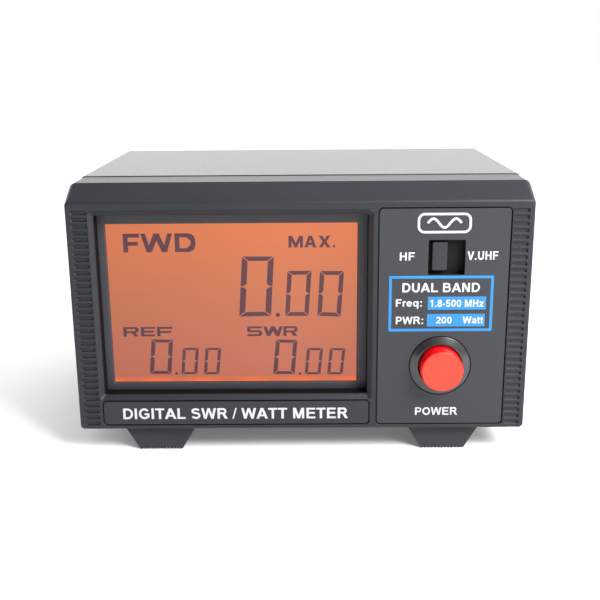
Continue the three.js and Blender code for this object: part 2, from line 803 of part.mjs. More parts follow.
// Centre contact: a sprung tube at the mouth and a solder tail behind.
function socketContact(kind) {
  const { outer, bore, front } = SOCKET_KINDS[kind].contact;
  const { tail, tailRadius, spigotDepth, wellDepth } = SOCKET;
  const wellBottom = front - wellDepth;
  return turned(
    [
      [0, -tail],
      [tailRadius, -tail],
      [tailRadius, -spigotDepth],
      [outer, -spigotDepth],
      [outer, front],
      [bore, front],
      [bore, wellBottom],
      [0, wellBottom],
    ],
    SMALL_ROUND,
  );
}

function addSockets() {
  for (const { name, x, kind } of SOCKETS) {
    const place = [x, CHASSIS.rearFace + GAP, SOCKET_Z];
    piece(`${name}_shell`, socketShell(), "nickel").position.set(...place);
    piece(`${name}_insulator`, socketInsulator(kind), "ptfe").position.set(...place);
    piece(`${name}_contact`, socketContact(kind), "gold").position.set(...place);
  }
}

function addDcJack() {
  const { x, z, flange, barrel, bore, pin, depth, lip } = DC_JACK;
  const floor = -depth + DC_JACK.floor;
  const body = turned(
    [
      [pin + GAP, -depth],
      [barrel, -depth],
      [barrel, 0],
      [flange, 0],
      [flange, lip],
      [bore, lip],
      [bore, floor],
      [pin + GAP, floor],
    ],
    SMALL_ROUND,
  );
  const post = rodY(pin, -depth - DC_JACK.pinTail, lip - DC_JACK.pinRecess, 0, 0, SMALL_ROUND);
  const place = [x, CHASSIS.rearFace + GAP, z];
  piece("dc_jack", body, "blackPlastic").position.set(...place);
  piece("dc_jack_pin", post, "nickel").position.set(...place);
}

// ---------------------------------------------------------------- sensor boxes
function sensorBox() {
  const { halfWidth, z0, z1, front, wall, exit } = SENSOR_BOX;
  const back = CHASSIS.rearFace - SHEET - GAP;
  const outline = { x0: -halfWidth, x1: halfWidth, z0, z1 };
  return cut(
    block(outline, front, back),
    block(outline, front + wall, back + PAST, -wall),
    rodY(exit, front - PAST, front + wall + PAST, 0, z0 + LEAD_EXIT, SMALL_ROUND),
  );
}

function couplerBoard() {
  const { halfWidth, z0, z1, wall } = SENSOR_BOX;
  const { thickness, front, inset } = COUPLER;
  const outline = { x0: -halfWidth, x1: halfWidth, z0, z1 };
  return block(outline, front, front + thickness, -(wall + inset));
}

function toroidCore() {
  const { outer, inner, width } = TOROID;
  const ring = turned([[inner, -width / 2], [outer, -width / 2], [outer, width / 2], [inner, width / 2]]);
  return ring.rotateZ(Math.PI / 2);
}

function addSensors() {
  for (const { name, x } of SENSORS) {
    piece(`${name}_sensor_box`, sensorBox(), "zincSteel").position.x = x;
    piece(`${name}_coupler_board`, couplerBoard(), "circuitBoard").position.x = x;
  }
  const { y, reach, radius, stripDepth, stripHeight } = LINE;
  const [hf, vuhf] = SENSORS;
  const rod = rodX(radius, -reach, reach, 0, 0);
  const strip = box(-reach, reach, -stripDepth / 2, stripDepth / 2, -stripHeight / 2, stripHeight / 2);
  piece("hf_through_line", rod, "copper").position.set(hf.x, y, SOCKET_Z);
  piece("hf_toroid", toroidCore(), "ferrite").position.set(hf.x, y, SOCKET_Z);
  piece("vuhf_through_line", strip, "copper").position.set(vuhf.x, y, SOCKET_Z);
}

// --------------------------------------------------------------- inside wiring
function lead(points) {
  const path = new THREE.CatmullRomCurve3(points.map(([x, y, z]) => new THREE.Vector3(x, y, z)));
  return roundWire(path, LEAD.radius, LEAD.sides, LEAD.steps);
}

function addLeads() {
  const boxExit = { y: SENSOR_BOX.front - GAP, z: SENSOR_BOX.z0 + LEAD_EXIT };
  const boardBack = BOARD.back + GAP;
  for (const { name, x } of SENSORS) {
    const entryX = x * 0.9; // the leads draw together on the way to the board
    const route = [
      [x, boxExit.y, boxExit.z],
      [x, boxExit.y - STRAIGHT, boxExit.z],
      [(x + entryX) / 2, LOW_MIDDLE.y, LOW_MIDDLE.z],
      [entryX, boardBack + STRAIGHT, BOARD_ENTRY_Z],
      [entryX, boardBack, BOARD_ENTRY_Z],
    ];
    piece(`${name}_sensor_lead`, lead(route), "leadJacket");
  }
  const jackEnd = CHASSIS.rearFace - DC_JACK.depth - DC_JACK.pinTail - GAP;
  const supply = [
    [DC_JACK.x, jackEnd, DC_JACK.z],
    [DC_JACK.x, jackEnd - STRAIGHT, DC_JACK.z - LEAD.radius],
    [SUPPLY_MIDDLE.x, SUPPLY_MIDDLE.y, SUPPLY_MIDDLE.z],
    [SUPPLY_ENTRY.x, boardBack + STRAIGHT, SUPPLY_ENTRY.z - LEAD.radius],
    [SUPPLY_ENTRY.x, boardBack, SUPPLY_ENTRY.z],
  ];
  piece("power_lead", lead(supply), "leadJacket");
}

// -------------------------------------------------------------------- assembly
addCase();
addPowerButton();
addBandSwitch();
addDisplay();
addMainBoard();
addSockets();
addDcJack();
addSensors();
addLeads();

const rearEnd = CHASSIS.rearFace + GAP + SOCKET.length;
face.position.set(0, -(BUTTON.front + rearEnd) / 2, FOOT.drop);

const meter = new THREE.Group();
meter.name = "swr_meter";
meter.add(face);

export default meter;
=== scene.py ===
"""Looks of a desk-top digital SWR and watt meter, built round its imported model.

Shapes are drawn in millimetres in the face frame: x to the right, y back from the
front face, z up from the bottom edge of the bezel. Datum takes them to metres in
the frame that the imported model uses.
"""

from __future__ import annotations

import json
import logging
import math
from dataclasses import dataclass
from enum import Enum
from typing import Any, Sequence

import bmesh
import bpy
from mathutils import Matrix, Vector

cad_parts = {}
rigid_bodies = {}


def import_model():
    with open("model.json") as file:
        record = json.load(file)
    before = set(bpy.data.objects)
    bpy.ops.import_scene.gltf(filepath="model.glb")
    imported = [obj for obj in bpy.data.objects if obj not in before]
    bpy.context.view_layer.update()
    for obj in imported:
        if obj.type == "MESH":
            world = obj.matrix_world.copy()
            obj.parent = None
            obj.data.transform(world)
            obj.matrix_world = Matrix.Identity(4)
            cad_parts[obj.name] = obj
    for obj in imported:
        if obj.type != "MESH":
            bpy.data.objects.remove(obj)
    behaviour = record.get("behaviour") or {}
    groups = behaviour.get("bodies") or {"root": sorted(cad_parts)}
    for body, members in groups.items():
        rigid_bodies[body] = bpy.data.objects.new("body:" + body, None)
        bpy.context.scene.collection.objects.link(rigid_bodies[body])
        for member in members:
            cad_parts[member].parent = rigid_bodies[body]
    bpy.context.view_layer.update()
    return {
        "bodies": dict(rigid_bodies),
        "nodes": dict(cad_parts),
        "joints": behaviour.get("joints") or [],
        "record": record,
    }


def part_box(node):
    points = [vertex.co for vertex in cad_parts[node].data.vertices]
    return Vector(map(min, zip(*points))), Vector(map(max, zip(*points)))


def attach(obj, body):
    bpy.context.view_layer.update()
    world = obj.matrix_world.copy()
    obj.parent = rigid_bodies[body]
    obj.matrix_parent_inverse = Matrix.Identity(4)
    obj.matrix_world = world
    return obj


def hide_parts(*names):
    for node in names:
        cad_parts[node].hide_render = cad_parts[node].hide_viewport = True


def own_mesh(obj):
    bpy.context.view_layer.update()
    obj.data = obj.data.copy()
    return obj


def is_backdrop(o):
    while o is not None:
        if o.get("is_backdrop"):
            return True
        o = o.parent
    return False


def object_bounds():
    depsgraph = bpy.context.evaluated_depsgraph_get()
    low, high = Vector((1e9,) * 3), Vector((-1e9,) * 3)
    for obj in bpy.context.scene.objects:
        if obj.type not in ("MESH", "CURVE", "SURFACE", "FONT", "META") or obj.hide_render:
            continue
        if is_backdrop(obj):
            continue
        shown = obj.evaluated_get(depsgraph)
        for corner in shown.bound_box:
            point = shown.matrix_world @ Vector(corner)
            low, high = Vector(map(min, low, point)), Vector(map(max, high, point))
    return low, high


log = logging.getLogger("swr_meter")

MM = 0.001
MERGE = 0.0005  # millimetres: points closer than this are one
SHARP = math.radians(32)  # a steeper edge than this is shaded as a sharp one
TINY_RADIUS = 0.02  # millimetres, for corners that look square
TURN_SIDES = 72
FOOT_HOLE = 1.8  # radius of the holes for the foot screws
RISING = Matrix.Rotation(math.pi / 2, 4, "X")  # turns what runs back so that it runs up
SIDEWAYS = Matrix.Rotation(math.pi / 2, 4, "Z")  # turns what runs back so that it runs left
ABOUT = Matrix.Rotation(math.pi, 4, "Z")  # turns what runs back so that it runs forward

# Socket numbers of the colour Mix node, whose inputs share names.
MIX_FACTOR, MIX_A, MIX_B, MIX_RESULT = 0, 6, 7, 2

Tree = bpy.types.NodeTree
Node = bpy.types.Node
Socket = bpy.types.NodeSocket
Mesh = bpy.types.Mesh
Point = tuple[float, float]
Outline = list[Point]
Station = tuple[float, Outline]


class Body(Enum):
    """The bodies that pieces ride on."""

    CASE = "case"
    BUTTON = "power_button"
    SWITCH = "band_switch"


class Plane(Enum):
    """Which way an outline is carried: back or across."""

    FACE = "face"
    SIDE = "side"

    def point(self, u: float, v: float, depth: float) -> tuple[float, float, float]:
        """Returns the x, y, z of outline point u, v at a depth."""
        return (u, depth, v) if self is Plane.FACE else (depth, u, v)


class CoaxKind(Enum):
    """The two families of threaded coax socket."""

    UHF = "uhf"
    N = "n"


# Node trees.
def linear(hex_colour: str, gain: float = 1.0) -> tuple[float, float, float, float]:
    """Turns an sRGB hex colour into a linear one.

    Args:
        hex_colour: Six hex digits after a hash.
        gain: Factor on the linear value.

    Returns:
        Red, green, blue and alpha.
    """
    parts = [int(hex_colour[i : i + 2], 16) / 255 for i in (1, 3, 5)]
    values = [c / 12.92 if c <= 0.04045 else ((c + 0.055) / 1.055) ** 2.4 for c in parts]
    red, green, blue = (value * gain for value in values)
    return (red, green, blue, 1.0)


def add(tree: Tree, kind: str, sockets: dict | None = None, **settings: Any) -> Node:
    """Adds a node with its settings, values and links.

    Args:
        tree: Tree that the node goes into.
        kind: The node's type name.
        sockets: Input name or number to a value, or to an output to link.
        settings: The node's own properties.

    Returns:
        The new node.
    """
    made = tree.nodes.new(kind)
    for name, value in settings.items():
        setattr(made, name, value)
    for name, value in (sockets or {}).items():
        if isinstance(value, Socket):
            tree.links.new(value, made.inputs[name])
        else:
            made.inputs[name].default_value = value
    return made


def per_metre(size_mm: float) -> float:
    """Returns the scale that gives a pattern features of a size in millimetres."""
    return 1.0 / (size_mm * MM)


# Finishes.
@dataclass(frozen=True)
class Finish:
    """A surface with a base colour, slow mottling, and a fine grain in relief.

    Grain and mottle are sizes in millimetres. Grain finer than about 0.6 mm would
    not show at the object's size in view, so it is drawn that coarse.
    """

    name: str
    colour: str
    roughness: float
    metallic: float = 0.0
    ior: float | None = None
    specular: float = 0.5
    grain: float = 0.7
    relief: float = 0.01
    stretch: tuple[float, float, float] = (1.0, 1.0, 1.0)
    mottle: float = 14.0
    variation: float = 0.05
    speckle: float = 0.0
    roughness_spread: float = 0.05
    coat: float = 0.0
    coat_roughness: float = 0.1
    subsurface: float = 0.0
    transmission: float = 0.0
    glow: float = 0.0

    def build(self) -> bpy.types.Material:
        """Returns the material, making it on first use."""
        known = bpy.data.materials.get(self.name)
        if known is not None:
            return known
        material = bpy.data.materials.new(self.name)
        material.use_nodes = True
        tree = material.node_tree
        shader = tree.nodes["Principled BSDF"]
        place = add(tree, "ShaderNodeTexCoord").outputs["Object"]
        grain = self.grain_pattern(tree, place)
        self.set_constants(shader)
        tree.links.new(self.colour_output(tree, place, grain), shader.inputs["Base Color"])
        tree.links.new(self.roughness_output(tree, grain), shader.inputs["Roughness"])
        tree.links.new(self.normal_output(tree, grain), shader.inputs["Normal"])
        self.finish_tree(tree, place, shader)
        return material

    def set_constants(self, shader: Node) -> None:
        """Sets on the shader what is the same all over the surface.

        Args:
            shader: The principled shader.
        """
        values = {
            "Metallic": self.metallic,
            "Specular IOR Level": self.specular,
            "Coat Weight": self.coat,
            "Coat Roughness": self.coat_roughness,
            "Subsurface Weight": self.subsurface,
            "Transmission Weight": self.transmission,
        }
        for name, value in values.items():
            shader.inputs[name].default_value = value
        if self.ior is not None:
            shader.inputs["IOR"].default_value = self.ior
        if self.subsurface:
            shader.inputs["Subsurface Radius"].default_value = (2 * MM, MM, MM)
        if self.glow:
            shader.inputs["Emission Color"].default_value = linear(self.colour)
            shader.inputs["Emission Strength"].default_value = self.glow

    def grain_pattern(self, tree: Tree, place: Socket) -> Socket:
        """Adds the fine grain.

        Args:
            tree: The material's tree.
            place: Object coordinates.

        Returns:
            The grain's height, from 0 to 1.
        """
        turned_place = add(tree, "ShaderNodeMapping", {"Vector": place, "Scale": self.stretch})
        sockets = {"Vector": turned_place.outputs["Vector"], "Scale": per_metre(self.grain), "Detail": 3.0}
        return add(tree, "ShaderNodeTexNoise", sockets).outputs[0]

    def colour_output(
        self, tree: Tree, place: Socket, grain: Socket
    ) -> Socket:
        """Adds the slow change of colour and the speckle.

        Args:
            tree: The material's tree.
            place: Object coordinates.
            grain: The grain's height.

        Returns:
            The colour.
        """
        sockets = {"Vector": place, "Scale": per_metre(self.mottle), "Detail": 2.0}
        slow = add(tree, "ShaderNodeTexNoise", sockets)
        sockets = {
            MIX_FACTOR: slow.outputs[0],
            MIX_A: linear(self.colour, 1 - self.variation),
            MIX_B: linear(self.colour, 1 + self.variation),
        }
        tone = add(tree, "ShaderNodeMix", sockets, data_type="RGBA").outputs[MIX_RESULT]
        if not self.speckle:
            return tone
        sockets = {"Value": grain, "From Min": 0.52, "From Max": 0.72, "To Min": 0.0, "To Max": self.speckle}
        amount = add(tree, "ShaderNodeMapRange", sockets).outputs[0]
        sockets = {MIX_FACTOR: amount, MIX_A: tone, MIX_B: linear(self.colour, 2.2)}
        return add(tree, "ShaderNodeMix", sockets, data_type="RGBA").outputs[MIX_RESULT]

    def roughness_output(self, tree: Tree, grain: Socket) -> Socket:
        """Adds the change of roughness with the grain.

        Args:
            tree: The material's tree.
            grain: The grain's height.

        Returns:
            The roughness.
        """
        sockets = {
            "Value": grain,
            "To Min": max(0.02, self.roughness - self.roughness_spread),
            "To Max": min(1.0, self.roughness + self.roughness_spread),
        }
        return add(tree, "ShaderNodeMapRange", sockets).outputs[0]

    def normal_output(self, tree: Tree, grain: Socket) -> Socket:
        """Adds the relief of the grain.

        Args:
            tree: The material's tree.
            grain: The grain's height.

        Returns:
            The normal.
        """
        return add(tree, "ShaderNodeBump", {"Height": grain, "Distance": self.relief * MM}).outputs["Normal"]

    def finish_tree(self, tree: Tree, place: Socket, shader: Node) -> None:
        """Room for a finish of its own kind to add to the tree."""


@dataclass(frozen=True)
class LitPanelFinish(Finish):
    """Polariser film of a display, lit from behind by lamps along its lower edge.

    The light is orange, strongest at the top right of the middle, and each lamp
    leaves a warmer patch on the lower edge.
    """

    left: float = -66.2 * MM
    right: float = 19.6 * MM
    low: float = 24.4 * MM
    high: float = 81.3 * MM
    lamp_pitch: float = 17.0 * MM
    lamp_reach: float = 2.4 * MM

    def finish_tree(self, tree: Tree, place: Socket, shader: Node) -> None:
        """Adds the light of the panel.

        Args:
            tree: The material's tree.
            place: Object coordinates.
            shader: The principled shader.
        """
        split = add(tree, "ShaderNodeSeparateXYZ", {"Vector": place})
        sideways = split.outputs["X"]
        sockets = {"Value": split.outputs["Z"], "From Min": self.low, "From Max": self.high}
        up = add(tree, "ShaderNodeMapRange", sockets).outputs[0]
        sockets = {"Value": sideways, "From Min": self.left, "From Max": self.right}
        across = add(tree, "ShaderNodeMapRange", sockets).outputs[0]
        rise = add(tree, "ShaderNodeValToRGB", {"Fac": up})
        shades = ((0.0, "#c46e57"), (0.12, "#c8725a"), (0.5, "#d07a58"), (0.8, "#de7e54"), (1.0, "#e78153"))
        self.set_ramp(rise, shades)
        drift = add(tree, "ShaderNodeValToRGB", {"Fac": across})
        self.set_ramp(drift, ((0.0, "#efefef"), (0.3, "#f4f4f4"), (0.72, "#ffffff"), (1.0, "#fafafa")))
        sockets = {MIX_FACTOR: 1.0, MIX_A: rise.outputs["Color"], MIX_B: drift.outputs["Color"]}
        tone = add(tree, "ShaderNodeMix", sockets, data_type="RGBA", blend_type="MULTIPLY")
        sockets = {0: sideways, 1: 2 * math.pi / self.lamp_pitch}
        angle = add(tree, "ShaderNodeMath", sockets, operation="MULTIPLY").outputs[0]
        wave = add(tree, "ShaderNodeMath", {0: angle}, operation="COSINE").outputs[0]
        sockets = {"Value": wave, "From Min": -1.0, "From Max": 1.0, "To Min": 0.5}
        patch = add(tree, "ShaderNodeMapRange", sockets).outputs[0]
        sockets = {"Value": split.outputs["Z"], "From Min": self.low, "From Max": self.low + self.lamp_reach}
        sockets |= {"To Min": 1.0, "To Max": 0.0}
        near = add(tree, "ShaderNodeMapRange", sockets, interpolation_type="SMOOTHSTEP").outputs[0]
        lamp = add(tree, "ShaderNodeMath", {0: patch, 1: near}, operation="MULTIPLY").outputs[0]
        sockets = {MIX_FACTOR: lamp, MIX_A: tone.outputs[MIX_RESULT], MIX_B: linear("#f8743a")}
        light = add(tree, "ShaderNodeMix", sockets, data_type="RGBA").outputs[MIX_RESULT]
        tree.links.new(light, shader.inputs["Emission Color"])
        shader.inputs["Emission Strength"].default_value = 1.0

    @staticmethod
    def set_ramp(ramp: Node, shades: Sequence[tuple[float, str]]) -> None:
        """Sets the stops of a colour ramp.

        Args:
            ramp: The ramp node.
            shades: Position and sRGB hex colour of each stop.
        """
        stops = ramp.color_ramp.elements
        while len(stops) < len(shades):
            stops.new(1.0)
        for stop, (position, shade) in zip(stops, shades):
            stop.position = position
            stop.color = linear(shade)


@dataclass(frozen=True)
class BoardFinish(Finish):
    """Glass-fibre board under green solder mask, with tracks that show through.

    Track width is 0.6 mm and their cells about 5 mm.
    """

    cell: float = 5.0
    track: float = 0.06

    def colour_output(
        self, tree: Tree, place: Socket, grain: Socket
    ) -> Socket:
        """Adds the tracks under the mask.

        Args:
            tree: The material's tree.
            place: Object coordinates.
            grain: The grain's height.

        Returns:
            The colour.
        """
        sockets = {"Vector": place, "Scale": per_metre(self.cell)}
        cells = add(tree, "ShaderNodeTexVoronoi", sockets, feature="DISTANCE_TO_EDGE", distance="EUCLIDEAN")
        sockets = {"Value": cells.outputs["Distance"], "From Min": self.track, "From Max": self.track * 1.3}
        line = add(tree, "ShaderNodeMapRange", {**sockets, "To Min": 1.0, "To Max": 0.0}).outputs[0]
        base = super().colour_output(tree, place, grain)
        sockets = {MIX_FACTOR: line, MIX_A: base, MIX_B: linear(self.colour, 1.9)}
        return add(tree, "ShaderNodeMix", sockets, data_type="RGBA").outputs[MIX_RESULT]


# Moulded ABS from a spark-eroded tool: nearly black, with a fine even grain that
# breaks reflections up and so dims them.
BEZEL_ABS = Finish(
    "moulded_abs_dark_grey", "#22252a", 0.46, ior=1.53, specular=0.3, grain=0.7, relief=0.05, variation=0.06
)
# The same plastic on the walls of the deep display opening, painted near black and matt as painted shade for
# the dark of the deep recess.
RECESS_PAINTED_SHADE = Finish("abs_recess_painted_shade", "#0a0a0b", 0.7, ior=1.5, specular=0.15, relief=0.006)
# Screen-printed polycarbonate film: a little lighter and flatter than the ABS.
FASCIA_FILM = Finish(
    "printed_polycarbonate_film", "#2b2d32", 0.5, ior=1.58, specular=0.3, grain=0.6, relief=0.008, speckle=0.1
)
LABEL_FILM = Finish(
    "printed_label_film", "#232429", 0.48, ior=1.58, specular=0.3, grain=0.6, relief=0.008, speckle=0.1
)
# Screen inks: matt, opaque and slightly uneven.
WHITE_INK = Finish("white_screen_ink", "#c2c2c6", 0.6, ior=1.5, variation=0.02, relief=0.003)
BLUE_INK = Finish("blue_screen_ink", "#2b7ab6", 0.6, ior=1.5, specular=0.3, variation=0.05, relief=0.003)
# Moulded acetal: black, waxy and smooth, for parts that slide.
BLACK_ACETAL = Finish(
    "moulded_black_acetal", "#242528", 0.42, ior=1.48, specular=0.4, relief=0.006, variation=0.05
)
# The same acetal on the switch knob's shutter and stem, painted near black as painted shade behind the
# window.
SHUTTER_PAINTED_SHADE = Finish("acetal_shutter_painted_shade", "#101012", 0.6, ior=1.48, specular=0.2, relief=0.004)
# Satin ABS: nearly black, with a clear soft highlight on its turned edge.
COLLAR_ABS = Finish(
    "satin_black_abs_collar", "#1f2022", 0.24, ior=1.53, specular=0.7, relief=0.004, variation=0.04
)
# Red ABS: clear deep red on the polished side. The matt face is the same red painted paler and pinker, a
# painted highlight for the front light on it.
RED_SIDE = Finish(
    "polished_red_abs", "#ff040e", 0.2, ior=1.53, specular=0.28, relief=0.002, variation=0.03, subsurface=0.05
)
RED_FACE_PAINTED_LIGHT = Finish(
    "red_abs_face_painted_highlight", "#f03c29", 0.45, ior=1.53, specular=0.3, relief=0.004, variation=0.03,
    subsurface=0.05,
)
SPRING_STEEL = Finish("drawn_spring_steel", "#c4c6ca", 0.28, metallic=1.0, relief=0.002, variation=0.04)
SWITCH_CAN = Finish("pressed_tinned_steel_can", "#b9bcbd", 0.36, metallic=1.0, relief=0.006, variation=0.06)
LCD_FRAME_ABS = Finish(
    "moulded_abs_display_frame", "#34343a", 0.5, ior=1.53, specular=0.4, relief=0.01, variation=0.05
)
# Anti-glare polariser: nearly black by itself, its colour is the light behind it.
LCD_FILM = LitPanelFinish(
    "lit_polariser_film", "#0e0a09", 0.42, ior=1.5, specular=0.2, relief=0.002, variation=0.03
)
# Driven liquid crystal: shuts out the light and leaves a plum-grey mark.
LCD_MARK = Finish(
    "driven_crystal_mark", "#472d34", 0.45, ior=1.5, specular=0.2, relief=0.001, variation=0.05, glow=0.2
)
LIGHT_GUIDE = Finish("polished_acrylic_guide", "#f6c39c", 0.12, ior=1.49, relief=0.001, transmission=0.6)
ZEBRA = Finish("layered_silicone_strip", "#8f858b", 0.75, ior=1.43, stretch=(6.0, 1.0, 1.0), speckle=0.5)
BOARD = BoardFinish("solder_masked_glass_fibre", "#1d5a35", 0.34, ior=1.55, relief=0.01, variation=0.08)
CHIP = Finish("moulded_epoxy_package", "#1a1a1c", 0.6, ior=1.55, relief=0.008, speckle=0.15)
BLACK_SCREW = Finish("black_oxide_steel", "#34353a", 0.34, metallic=0.85, relief=0.004, variation=0.1)
BOARD_SCREW = Finish("zinc_plated_screw_steel", "#a9adb2", 0.32, metallic=1.0, relief=0.004, variation=0.08)
# Powder coat: semi-matt and dark, with the soft orange peel of a baked powder.
CHASSIS_COAT = Finish(
    "black_powder_coated_sheet", "#232427", 0.5, ior=1.5, specular=0.4, grain=0.9, relief=0.03, variation=0.06
)
COVER_PAINT = Finish(
    "powder_coated_steel", "#3a3b3d", 0.4, ior=1.5, grain=0.7, relief=0.07, variation=0.05, speckle=0.35,
    roughness_spread=0.1,
)
FOOT_RUBBER = Finish(
    "moulded_rubber", "#2b2b2f", 0.72, ior=1.52, specular=0.4, relief=0.02, variation=0.08, speckle=0.1
)
NICKEL = Finish("bright_nickel_plate", "#cbc7bd", 0.2, metallic=1.0, relief=0.002, variation=0.04)
PTFE = Finish("turned_ptfe", "#ebe9e2", 0.45, ior=1.38, relief=0.004, variation=0.02, subsurface=0.1)
GOLD = Finish("gold_plated_brass", "#d0a753", 0.24, metallic=1.0, relief=0.002, variation=0.04)
TINNED = Finish("tinned_steel_screen", "#bfc1c2", 0.34, metallic=1.0, relief=0.006, variation=0.08)
COPPER = Finish("bright_copper", "#c07a4c", 0.28, metallic=1.0, relief=0.002, variation=0.08)
FERRITE = Finish("pressed_ferrite", "#45423f", 0.7, ior=2.0, relief=0.02, variation=0.1, speckle=0.2)
LEAD_PVC = Finish("extruded_pvc_jacket", "#242427", 0.5, ior=1.53, relief=0.006, variation=0.05)


# Placing pieces.
@dataclass(frozen=True)
class Datum:
    """Place of the face frame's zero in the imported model's frame, in metres."""

    zero: Vector

    @classmethod
    def from_bezel(cls) -> Datum:
        """Returns the datum that the bezel's box gives."""
        low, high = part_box("front_bezel")
        return cls(Vector(((low.x + high.x) / 2, low.y, low.z)))

    def box(self, node: str) -> tuple[Vector, Vector]:
        """Returns a CAD node's lowest and highest corners in face millimetres."""
        low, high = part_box(node)
        return (low - self.zero) / MM, (high - self.zero) / MM

    def centre(self, node: str) -> Vector:
        """Returns the middle of a CAD node's box in face millimetres."""
        low, high = self.box(node)
        return (low + high) / 2

    def matrix(self) -> Matrix:
        """Returns the step from face millimetres to metres in the model's frame."""
        return Matrix.Translation(self.zero) @ Matrix.Scale(MM, 4)

    def metres(self, x: float, y: float, z: float) -> Vector:
        """Returns a point given in face millimetres."""
        return self.zero + Vector((x, y, z)) * MM


@dataclass(frozen=True)
class Pane:
    """A rectangle on the face, in millimetres."""

    x0: float
    x1: float
    z0: float
    z1: float

    def grown(self, by: float) -> Pane:
        """Returns the pane made larger on every side."""
        return Pane(self.x0 - by, self.x1 + by, self.z0 - by, self.z1 + by)

    def outline(self, radius: float = TINY_RADIUS, steps: int = 6) -> Outline:
        """Returns the pane's outline.

        Args:
            radius: Radius of its corners.
            steps: Pieces that each corner is drawn in.

        Returns:
            Points anticlockwise, x to the right and z up.
        """
        r = max(radius, TINY_RADIUS)
        corners = (
            (self.x1 - r, self.z1 - r, 0),
            (self.x0 + r, self.z1 - r, 90),
            (self.x0 + r, self.z0 + r, 180),
            (self.x1 - r, self.z0 + r, 270),
        )
        return [
            (x + r * math.cos(a), z + r * math.sin(a))
            for x, z, start in corners
            for a in (math.radians(start + 90 * i / steps) for i in range(steps + 1))
        ]


# Outlines.
def softened(points: Sequence[Point], radius: float, steps: int = 4) -> Outline:
    """Rounds the corners of a closed outline.

    Args:
        points: Corners in order.
        radius: How far back along each side a corner's curve starts.
        steps: Pieces that each corner is drawn in.

    Returns:
        The outline with curves for corners.
    """
    made: Outline = []
    count = len(points)
    for i in range(count):
        before, corner, after = (Vector(points[(i + k) % count]) for k in (-1, 0, 1))
        back, on = before - corner, after - corner
        start = corner + back.normalized() * min(radius, 0.45 * back.length)
        end = corner + on.normalized() * min(radius, 0.45 * on.length)
        for k in range(steps + 1):
            t = k / steps
            spot = start * (1 - t) ** 2 + corner * 2 * t * (1 - t) + end * t**2
            made.append((spot.x, spot.y))
    return made


def shrunk(outline: Sequence[Point], by: float) -> Outline:
    """Moves each point of an anticlockwise outline inwards.

    Args:
        outline: The closed outline.
        by: Distance between the outline and its smaller copy.

    Returns:
        The smaller outline, with as many points.
    """
    made: Outline = []
    count = len(outline)
    for i in range(count):
        before, spot, after = (Vector(outline[(i + k) % count]) for k in (-1, 0, 1))
        first, second = (spot - before).normalized(), (after - spot).normalized()
        normal = Vector((-(first.y + second.y), first.x + second.x))
        normal.normalize()
        across = Vector((-first.y, first.x))
        moved = spot + normal * by / max(0.5, normal.dot(across))
        made.append((moved.x, moved.y))
    return made


# Meshes.
def as_mesh(shape: bmesh.types.BMesh) -> Mesh:
    """Merges doubles, turns faces outwards and frees the working copy."""
    bmesh.ops.remove_doubles(shape, verts=shape.verts, dist=MERGE)
    bmesh.ops.dissolve_degenerate(shape, dist=MERGE, edges=shape.edges)
    bmesh.ops.recalc_face_normals(shape, faces=shape.faces)
    mesh = bpy.data.meshes.new("shape")
    shape.to_mesh(mesh)
    shape.free()
    return mesh


def loft(stations: Sequence[Station], plane: Plane = Plane.FACE) -> Mesh:
    """Carries an outline through stations and closes both ends.

    Args:
        stations: Depth and outline of each; the outlines have as many points.
        plane: Which way the depth runs.

    Returns:
        The closed mesh.
    """
    shape = bmesh.new()
    rings = [[shape.verts.new(plane.point(u, v, depth)) for u, v in outline] for depth, outline in stations]
    count = len(rings[0])
    for ring, following in zip(rings, rings[1:]):
        for i in range(count):
            j = (i + 1) % count
            shape.faces.new((ring[i], ring[j], following[j], following[i]))
    shape.faces.new(rings[0])
    shape.faces.new(rings[-1])
    return as_mesh(shape)


def soft_prism(
    outline: Outline, start: float, end: float, edge: float, plane: Plane = Plane.FACE, steps: int = 3
) -> Mesh:
    """A prism with both of its end edges rounded.

    Args:
        outline: Anticlockwise outline.
        start: Depth of the near end.
        end: Depth of the far end.
        edge: Radius of the end edges.
        plane: Which way the depth runs.
        steps: Pieces that each edge is drawn in.

    Returns:
        The closed mesh.
    """
    angles = [math.radians(90 * k / steps) for k in range(steps + 1)]
    rounding = [(edge * (1 - math.cos(a)), shrunk(outline, edge * (1 - math.sin(a)))) for a in angles]
    near = [(start + back, section) for back, section in rounding]
    far = [(end - back, section) for back, section in reversed(rounding)]
    return loft(near + far, plane)


def turned(profile: Sequence[Point], sides: int = TURN_SIDES) -> Mesh:
    """Turns a closed profile about the y axis.

    Args:
        profile: Points of radius and y.
        sides: Sides of the round.

    Returns:
        The closed mesh.
    """
    shape = bmesh.new()
    rings = []
    for radius, y in profile:
        if radius < MERGE:
            rings.append([shape.verts.new((0, y, 0))] * sides)
            continue
        angles = (2 * math.pi * k / sides for k in range(sides))
        rings.append([shape.verts.new((radius * math.cos(a), y, radius * math.sin(a))) for a in angles])
    for ring, following in zip(rings, rings[1:] + rings[:1]):
        for i in range(sides):
            j = (i + 1) % sides
            corners = list(dict.fromkeys((ring[i], ring[j], following[j], following[i])))
            if len(corners) > 2:
                shape.faces.new(corners)
    return as_mesh(shape)


def straight(outline: Outline, start: float, end: float) -> Mesh:
    """Returns an outline on the face carried straight back."""
    return loft([(start, outline), (end, outline)])


def brick(x0: float, x1: float, y0: float, y1: float, z0: float, z1: float) -> Mesh:
    """Returns a plain block to cut with or to join."""
    return straight(Pane(x0, x1, z0, z1).outline(steps=1), y0, y1)


def rod(radius: float, start: float, end: float, sides: int = TURN_SIDES) -> Mesh:
    """Returns a plain round bar along the y axis."""
    return turned([(0, start), (radius, start), (radius, end), (0, end)], sides)


